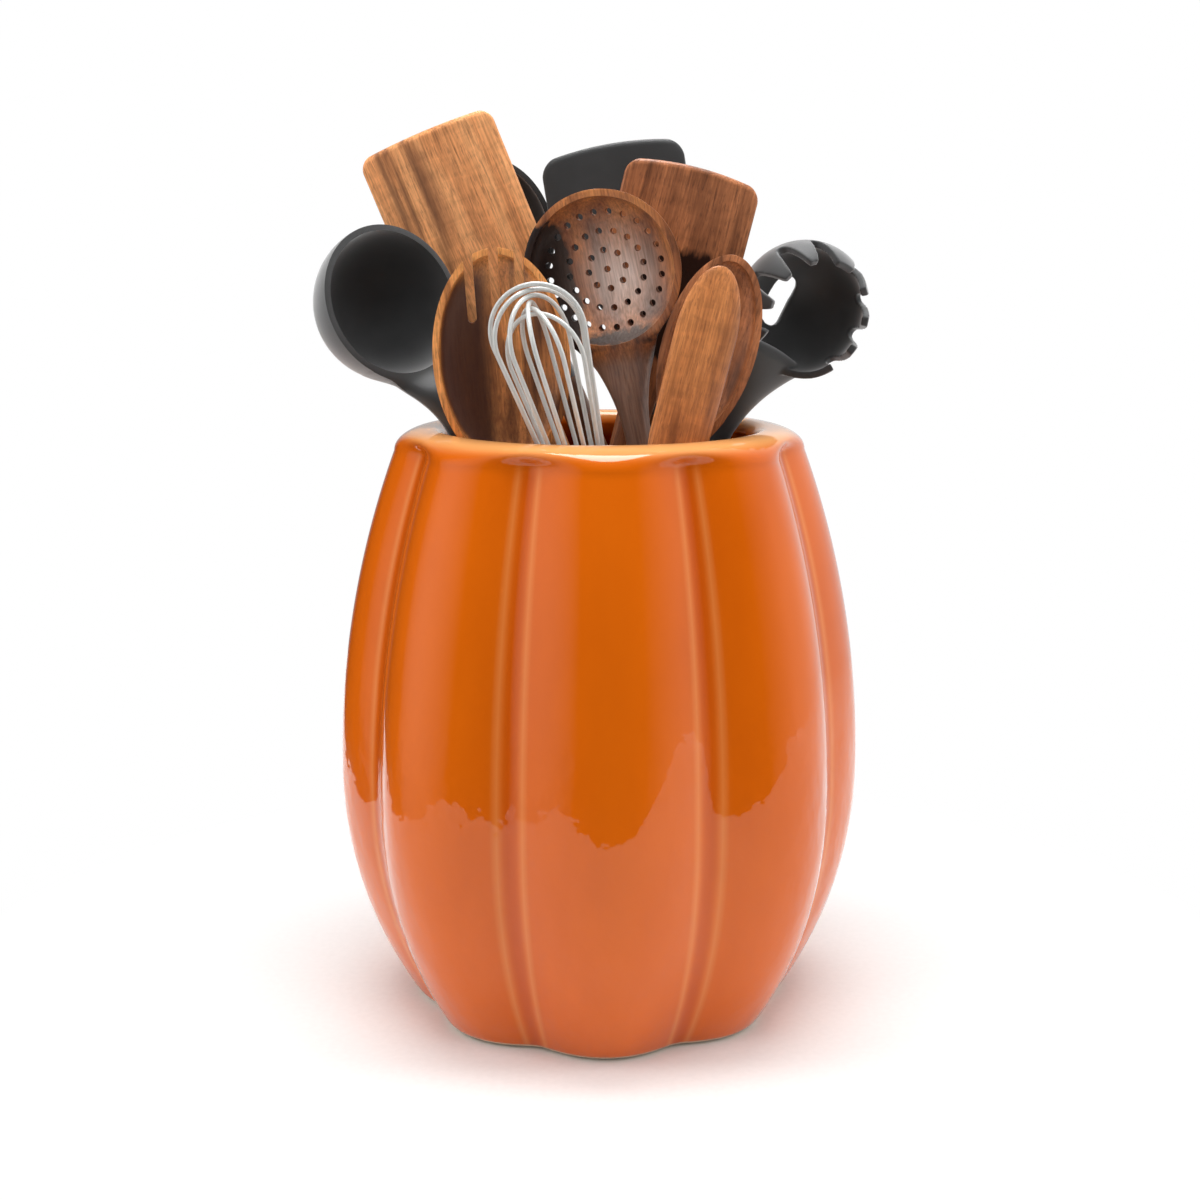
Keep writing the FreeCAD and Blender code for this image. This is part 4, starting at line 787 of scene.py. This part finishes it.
def paddle_rings(grip_sections, neck, flare, tip):
    """Rings of a narrow spatula: ball end, grip and blade as flat ovals that close in a rounded tip."""
    height, rise, half, thick_tip = tip
    ball = np.linspace(-np.pi / 2, 0, 12)[1:-1]
    crown = np.linspace(0, np.pi / 2, 40)[1:-1]
    level = np.concatenate([
        grip_ball * np.sin(ball), np.arange(0.0, height - rise, 1.6), height - rise * (1 - np.sin(crown))])
    width, thick, _ = stem_sizes(level, grip_sections, neck, flare)
    share = step(level, flare[0], height - rise)
    width = np.where(level > flare[0], flare[1] + (half - flare[1]) * share, width)
    thick = np.where(level > flare[0], flare[2] + (thick_tip - flare[2]) * share, thick)
    start, end = slice(None, len(ball)), slice(-len(crown), None)
    width[start], thick[start] = grip_ball * np.cos(ball), grip_ball * np.cos(ball)
    width[end], thick[end] = half * np.cos(crown), thick_tip * np.cos(crown)
    around = 2 * np.pi * np.arange(80) / 80
    x = width[:, None] * np.cos(around)
    y = thick[:, None] * np.sin(around)
    rings = np.stack([x, y, np.repeat(level[:, None], len(around), axis=1)], axis=-1)
    return rings, (0.0, 0.0, -grip_ball), (0.0, 0.0, height)


narrow_place = stance("narrow_spatula", "narrow_spatula", 10.3)
narrow_top = top_level("narrow_spatula", narrow_place)
carved("narrow_spatula_board", "narrow_spatula", narrow_place, paddle_rings(
    grip(grip_ball, narrow_top - 124.0), (narrow_top - 124.0, 6.2, 4.6),
    (narrow_top - 60.0, 10.4, 3.4, 0.0), (narrow_top, 24.0, 10.8, 2.8)),
    wood("acacia_medium", (0.60, 0.225, 0.068), (0.47, 0.165, 0.048), (0.120, 0.038, 0.015), 1.1, 0.12),
    shade=lambda x, y, z: 0.35 * step(x, 5.5, 9.5))


# Wooden spoon. A narrow oval bowl, carved in one piece with its grip from walnut and oiled;
# it stands behind the narrow spatula.

wooden_place = stance("wooden_spoon", "wooden_spoon", -2.2)
wooden_length = top_level("wooden_spoon", wooden_place) - 33.0
carved("wooden_spoon_carved", "wooden_spoon", wooden_place, whole_spoon(
    grip_ball, (wooden_length - 58.0, 5.3, 4.5), (wooden_length - 23.0, 11.0, 3.6, 1.5),
    (wooden_length, 16.5, 33.0, 10.0, 3.0, 2.2, -3.0)),
    # Painted shade: the top and the left of the bowl are darkened in ragged patches.
    walnut, stain=lambda x, y, z: 0.35 * step(z, wooden_length - 9, wooden_length + 26) * step(x, 4, -6))


# Pasta server. A charcoal silicone bowl whose rim is cut into fingers, with an oval drain in its back
# and a flared neck, moulded in one over its tang.

def server_shell(radius, depth, wall, curl, notches, notch_width, notch_depth, drain):
    """A bowl on an egg shape about its own axis: a point at the tilt t from the back and the angle a round
    the axis lies at radius times sin t from it and at depth times cos t behind the widest place. Columns
    run from the edge of the drain to a circle and then on to the rim, which curls in past the widest
    place; in each notch it falls back by a U that opens outwards, and at the neck it stays low. An outer
    face and an inner one a wall inside it close the ring."""
    around = 1080
    angle = 2 * np.pi * np.arange(around) / around
    ways = (curl, curl - notch_depth, curl - notch_depth - 3.0)
    tip, floor, low = (math.acos(-way / depth) for way in ways)
    gaps = np.abs((angle[:, None] - np.radians(notches)[None] + np.pi) % (2 * np.pi) - np.pi)
    aside = gaps.min(axis=1) * radius
    half = notch_width / 2
    hollow = floor + 0.16 * (np.minimum(aside, half) / half) ** 2
    rim = hollow + (tip - hollow) * step(aside, 0.55 * half, half + 2.6)
    fall = np.abs((angle + np.pi / 2 + np.pi) % (2 * np.pi) - np.pi)
    rim = np.where(fall < np.radians(60), low + (rim - low) * step(fall, np.radians(12), np.radians(56)), rim)
    circle = 0.74
    length, width = drain
    tall = length / 2 - width / 2
    ends = np.tanh(4 * np.sin(angle))
    oval = np.stack([width / 2 * np.cos(angle), tall * ends + width / 2 * np.sin(angle)], axis=-1) / radius
    share = np.hypot(oval[:, 0], oval[:, 1])
    first = (np.arcsin(share) / share)[:, None] * oval
    beam = np.stack([np.cos(angle), np.sin(angle)], axis=-1)
    inner_way = np.linspace(0, 1, 14)[:, None, None]
    outer_way = np.linspace(0, 1, 34)[1:, None]
    spread = np.concatenate([
        first[None] + (circle * beam - first)[None] * inner_way,
        (circle + (rim - circle)[None] * outer_way)[..., None] * beam[None]])
    tilt = np.hypot(spread[..., 0], spread[..., 1])
    turn = np.arctan2(spread[..., 1], spread[..., 0])
    faces = []
    for inset in (0.0, wall):
        r, d = radius - inset, depth - inset
        faces.append(np.stack([
            r * np.sin(tilt) * np.cos(turn), d * np.cos(tilt), r * np.sin(tilt) * np.sin(turn)], axis=-1))
    return np.concatenate([faces[0], faces[1][::-1]])


def torus(name, rings):
    """A closed mesh over a grid of points that joins up both ways, with its faces looking outwards."""
    rows, around = rings.shape[:2]
    points = rings.reshape(-1, 3)
    ring = np.arange(rows * around).reshape(rows, around)
    below = np.roll(ring, -1, axis=0)
    quads = np.stack([ring, np.roll(ring, -1, axis=1), np.roll(below, -1, axis=1), below], axis=-1)
    quads = quads.reshape(-1, 4)
    corners = points[quads]
    halves = np.cross(corners[:, 1], corners[:, 2]) + np.cross(corners[:, 2], corners[:, 3])
    if np.einsum("ij,ij->", corners[:, 0], halves) < 0:
        quads = quads[:, ::-1]
    mesh = bpy.data.meshes.new(name)
    mesh.from_pydata(points.tolist(), [], quads.tolist())
    return mesh


def moulded(name, meshes, voxel, passes):
    """Several closed meshes melted into one even skin, then smoothed as a mould leaves it."""
    things = []
    for mesh in meshes:
        made = bpy.data.objects.new("melt", mesh)
        bpy.context.scene.collection.objects.link(made)
        things.append(made)
    base = things[0]
    for other in things[1:]:
        change = base.modifiers.new("join", "BOOLEAN")
        change.operation, change.object, change.solver = "UNION", other, "EXACT"
    melt = base.modifiers.new("melt", "REMESH")
    melt.mode, melt.voxel_size, melt.adaptivity = "VOXEL", voxel, 0.0
    calm = base.modifiers.new("calm", "SMOOTH")
    calm.factor, calm.iterations = 0.5, passes
    bpy.context.view_layer.update()
    result = bpy.data.meshes.new_from_object(base.evaluated_get(bpy.context.evaluated_depsgraph_get()))
    for thing in things:
        bpy.data.objects.remove(thing)
    result.name = name
    result.shade_smooth()
    return result


def neck_rings(foot, radius, neck, flare):
    """Rings of a moulded neck from its collar to its flare, which ends in a rounded top."""
    cap_rise = 4.0
    cap = cap_rise * np.sin(np.linspace(0, np.pi / 2, 10))[:-1]
    level = np.concatenate([np.arange(foot, flare[0], 1.5), flare[0] + cap])
    width, thick, back = stem_sizes(level, [(foot, radius, radius)], neck, flare)
    close = np.sqrt(np.clip(1 - (np.clip(level - flare[0], 0, None) / cap_rise) ** 2, 0, 1))
    around = 2 * np.pi * np.arange(64) / 64
    x = (width * close)[:, None] * np.cos(around)
    y = back[:, None] + (thick * close)[:, None] * np.sin(around)
    rings = np.stack([x, y, np.repeat(level[:, None], 64, axis=1)], axis=-1)
    return rings, (0.0, 0.0, foot), (0.0, flare[3], flare[0] + cap_rise)


server_place = stance("pasta_server", "pasta_server_handle", 26.0)
server_length = top_level("pasta_server_head", server_place) - 25.0
shell_rings = server_shell(
    25.0, 21.0, 2.6, 12.0, (-28, 4, 36, 68, 112, 144, 176, 208), 5.6, 13.0, (21.0, 10.0))
shell_rings = shell_rings + np.array((0.0, -12.0, server_length))
server_neck = neck_rings(
    server_length - 84.0, 5.8, (server_length - 54.0, 5.2, 4.6), (server_length - 20.0, 17.0, 4.6, -5.0))
server_mesh = moulded("pasta_server_bowl", [
    torus("server_shell", lean(shell_rings, server_place)),
    leaned_skin("server_neck", server_neck, server_place)], 0.00042, 6)
piece("pasta_server_bowl", server_mesh, charcoal, "pasta_server", "charcoal_silicone", "pasta_server_head")


# Studio. The crock stands on a sheet of white paper that ends in front of it, under a wide softbox and
# between two pale walls, with the dark room behind the camera.

def paper_material():
    """Pale paper that keeps the shadow near the object and turns to plain white away from it."""
    material, tree, shader = fresh_material("studio_paper")
    place = node(tree, "ShaderNodeTexCoord", {}).outputs["Object"]
    fibre = noise(tree, place, 400.0, (1.0, 1.0, 1.0), 2.0)
    tree.links.new(ramp(tree, fibre, [(0.3, (0.87, 0.865, 0.855, 1)), (0.7, (0.90, 0.895, 0.885, 1))]),
                   shader.inputs["Base Color"])
    shader.inputs["Roughness"].default_value = 0.9
    shader.inputs["Specular IOR Level"].default_value = 0.1
    reach = node(tree, "ShaderNodeVectorMath", {0: place}, operation="LENGTH").outputs["Value"]
    far = ramp(tree, reach, [(0.09, (0, 0, 0, 1)), (0.26, (1, 1, 1, 1))])
    seen = node(tree, "ShaderNodeLightPath", {}).outputs["Is Camera Ray"]
    white = node(tree, "ShaderNodeEmission", {"Color": (1, 1, 1, 1), "Strength": 1.0})
    mixed = node(tree, "ShaderNodeMixShader", {
        0: sums(tree, "MULTIPLY", far, seen), 1: shader.outputs[0], 2: white.outputs[0]})
    output = next(n for n in tree.nodes if n.type == "OUTPUT_MATERIAL")
    tree.links.new(mixed.outputs[0], output.inputs["Surface"])
    return material


paper = bpy.data.meshes.new("studio_paper")
paper.from_pydata([
    (-0.32, -0.35, 0), (1.0, -0.35, 0), (1.0, 0.6, 0), (-0.32, 0.6, 0)], [], [(0, 1, 2, 3)])
paper.materials.append(paper_material())
paper_sheet = bpy.data.objects.new("studio_paper", paper)
bpy.context.scene.collection.objects.link(paper_sheet)


def softbox(name, spot, aim, wide, deep, power, mirrored=True):
    """A rectangular light that looks at a point; one that isn't mirrored only lights, as a bounced fill."""
    lamp = bpy.data.lights.new(name, "AREA")
    lamp.shape, lamp.size, lamp.size_y, lamp.energy = "RECTANGLE", wide, deep, power
    made = bpy.data.objects.new(name, lamp)
    bpy.context.scene.collection.objects.link(made)
    made.location = spot
    made.rotation_mode = "QUATERNION"
    made.rotation_quaternion = (made.location - Vector(aim)).to_track_quat("Z", "Y")
    made.visible_glossy = mirrored


softbox("studio_fill", (0.0, -0.55, 1.05), (0.0, 0.0, 0.16), 0.9, 0.5, 4.0, False)
softbox("studio_top", (0.0, -0.06, 1.20), (0.0, -0.06, 0.20), 0.9, 0.3, 7.0, False)
softbox("studio_back", (0.0, 0.85, 1.10), (0.0, 0.0, 0.20), 1.3, 0.26, 3.0)
softbox("studio_left", (-0.95, -0.15, 0.55), (0.0, 0.0, 0.15), 0.5, 1.1, 4.5, False)
softbox("studio_right", (0.95, -0.10, 0.55), (0.0, 0.0, 0.15), 0.5, 1.1, 4.0, False)

world = bpy.data.worlds.new("studio_world")
bpy.context.scene.world = world
world.use_nodes = True
world_tree = world.node_tree
world_tree.nodes.clear()
heading = node(world_tree, "ShaderNodeTexCoord", {}).outputs["Generated"]


def soft_wall(direction, edge, full, level):
    """How bright a pale wall with a soft edge looks, by how far a ray turns towards it."""
    toward = node(world_tree, "ShaderNodeVectorMath", {0: heading, 1: direction}, operation="DOT_PRODUCT")
    return ramp(world_tree, toward.outputs["Value"], [
        (edge, (0.006, 0.006, 0.006, 1)), (full, (level,) * 3 + (1,))])


front = blend(world_tree, 1.0, soft_wall((0.78, 0.62, 0.0), 0.10, 0.75, 0.85),
              soft_wall((-0.95, -0.28, 0.12), 0.76, 0.99, 1.0), "LIGHTEN")
front = blend(world_tree, 1.0, front, soft_wall((0.0, 0.10, 0.995), 0.955, 0.965, 13.0), "LIGHTEN")
path = node(world_tree, "ShaderNodeLightPath", {})
room = blend(world_tree, path.outputs["Is Glossy Ray"], (0.42, 0.42, 0.42, 1), front)
room = blend(world_tree, path.outputs["Is Camera Ray"], room, (1, 1, 1, 1))
glow = node(world_tree, "ShaderNodeBackground", {"Color": room, "Strength": 1.0})
node(world_tree, "ShaderNodeOutputWorld", {"Surface": glow.outputs[0]})

lens = bpy.data.cameras.new("photo_view")
lens.lens, lens.sensor_width, lens.sensor_fit = 54.951, 36.0, "HORIZONTAL"
viewer = bpy.data.objects.new("photo_view", lens)
bpy.context.scene.collection.objects.link(viewer)
viewer.location = (0.0, -0.6548, 0.2815)
pitch_down = 11.488
viewer.rotation_euler = (math.radians(90.0 - pitch_down), 0.0, 0.0)
bpy.context.scene.camera = viewer
bpy.context.scene.view_settings.view_transform = "Standard"
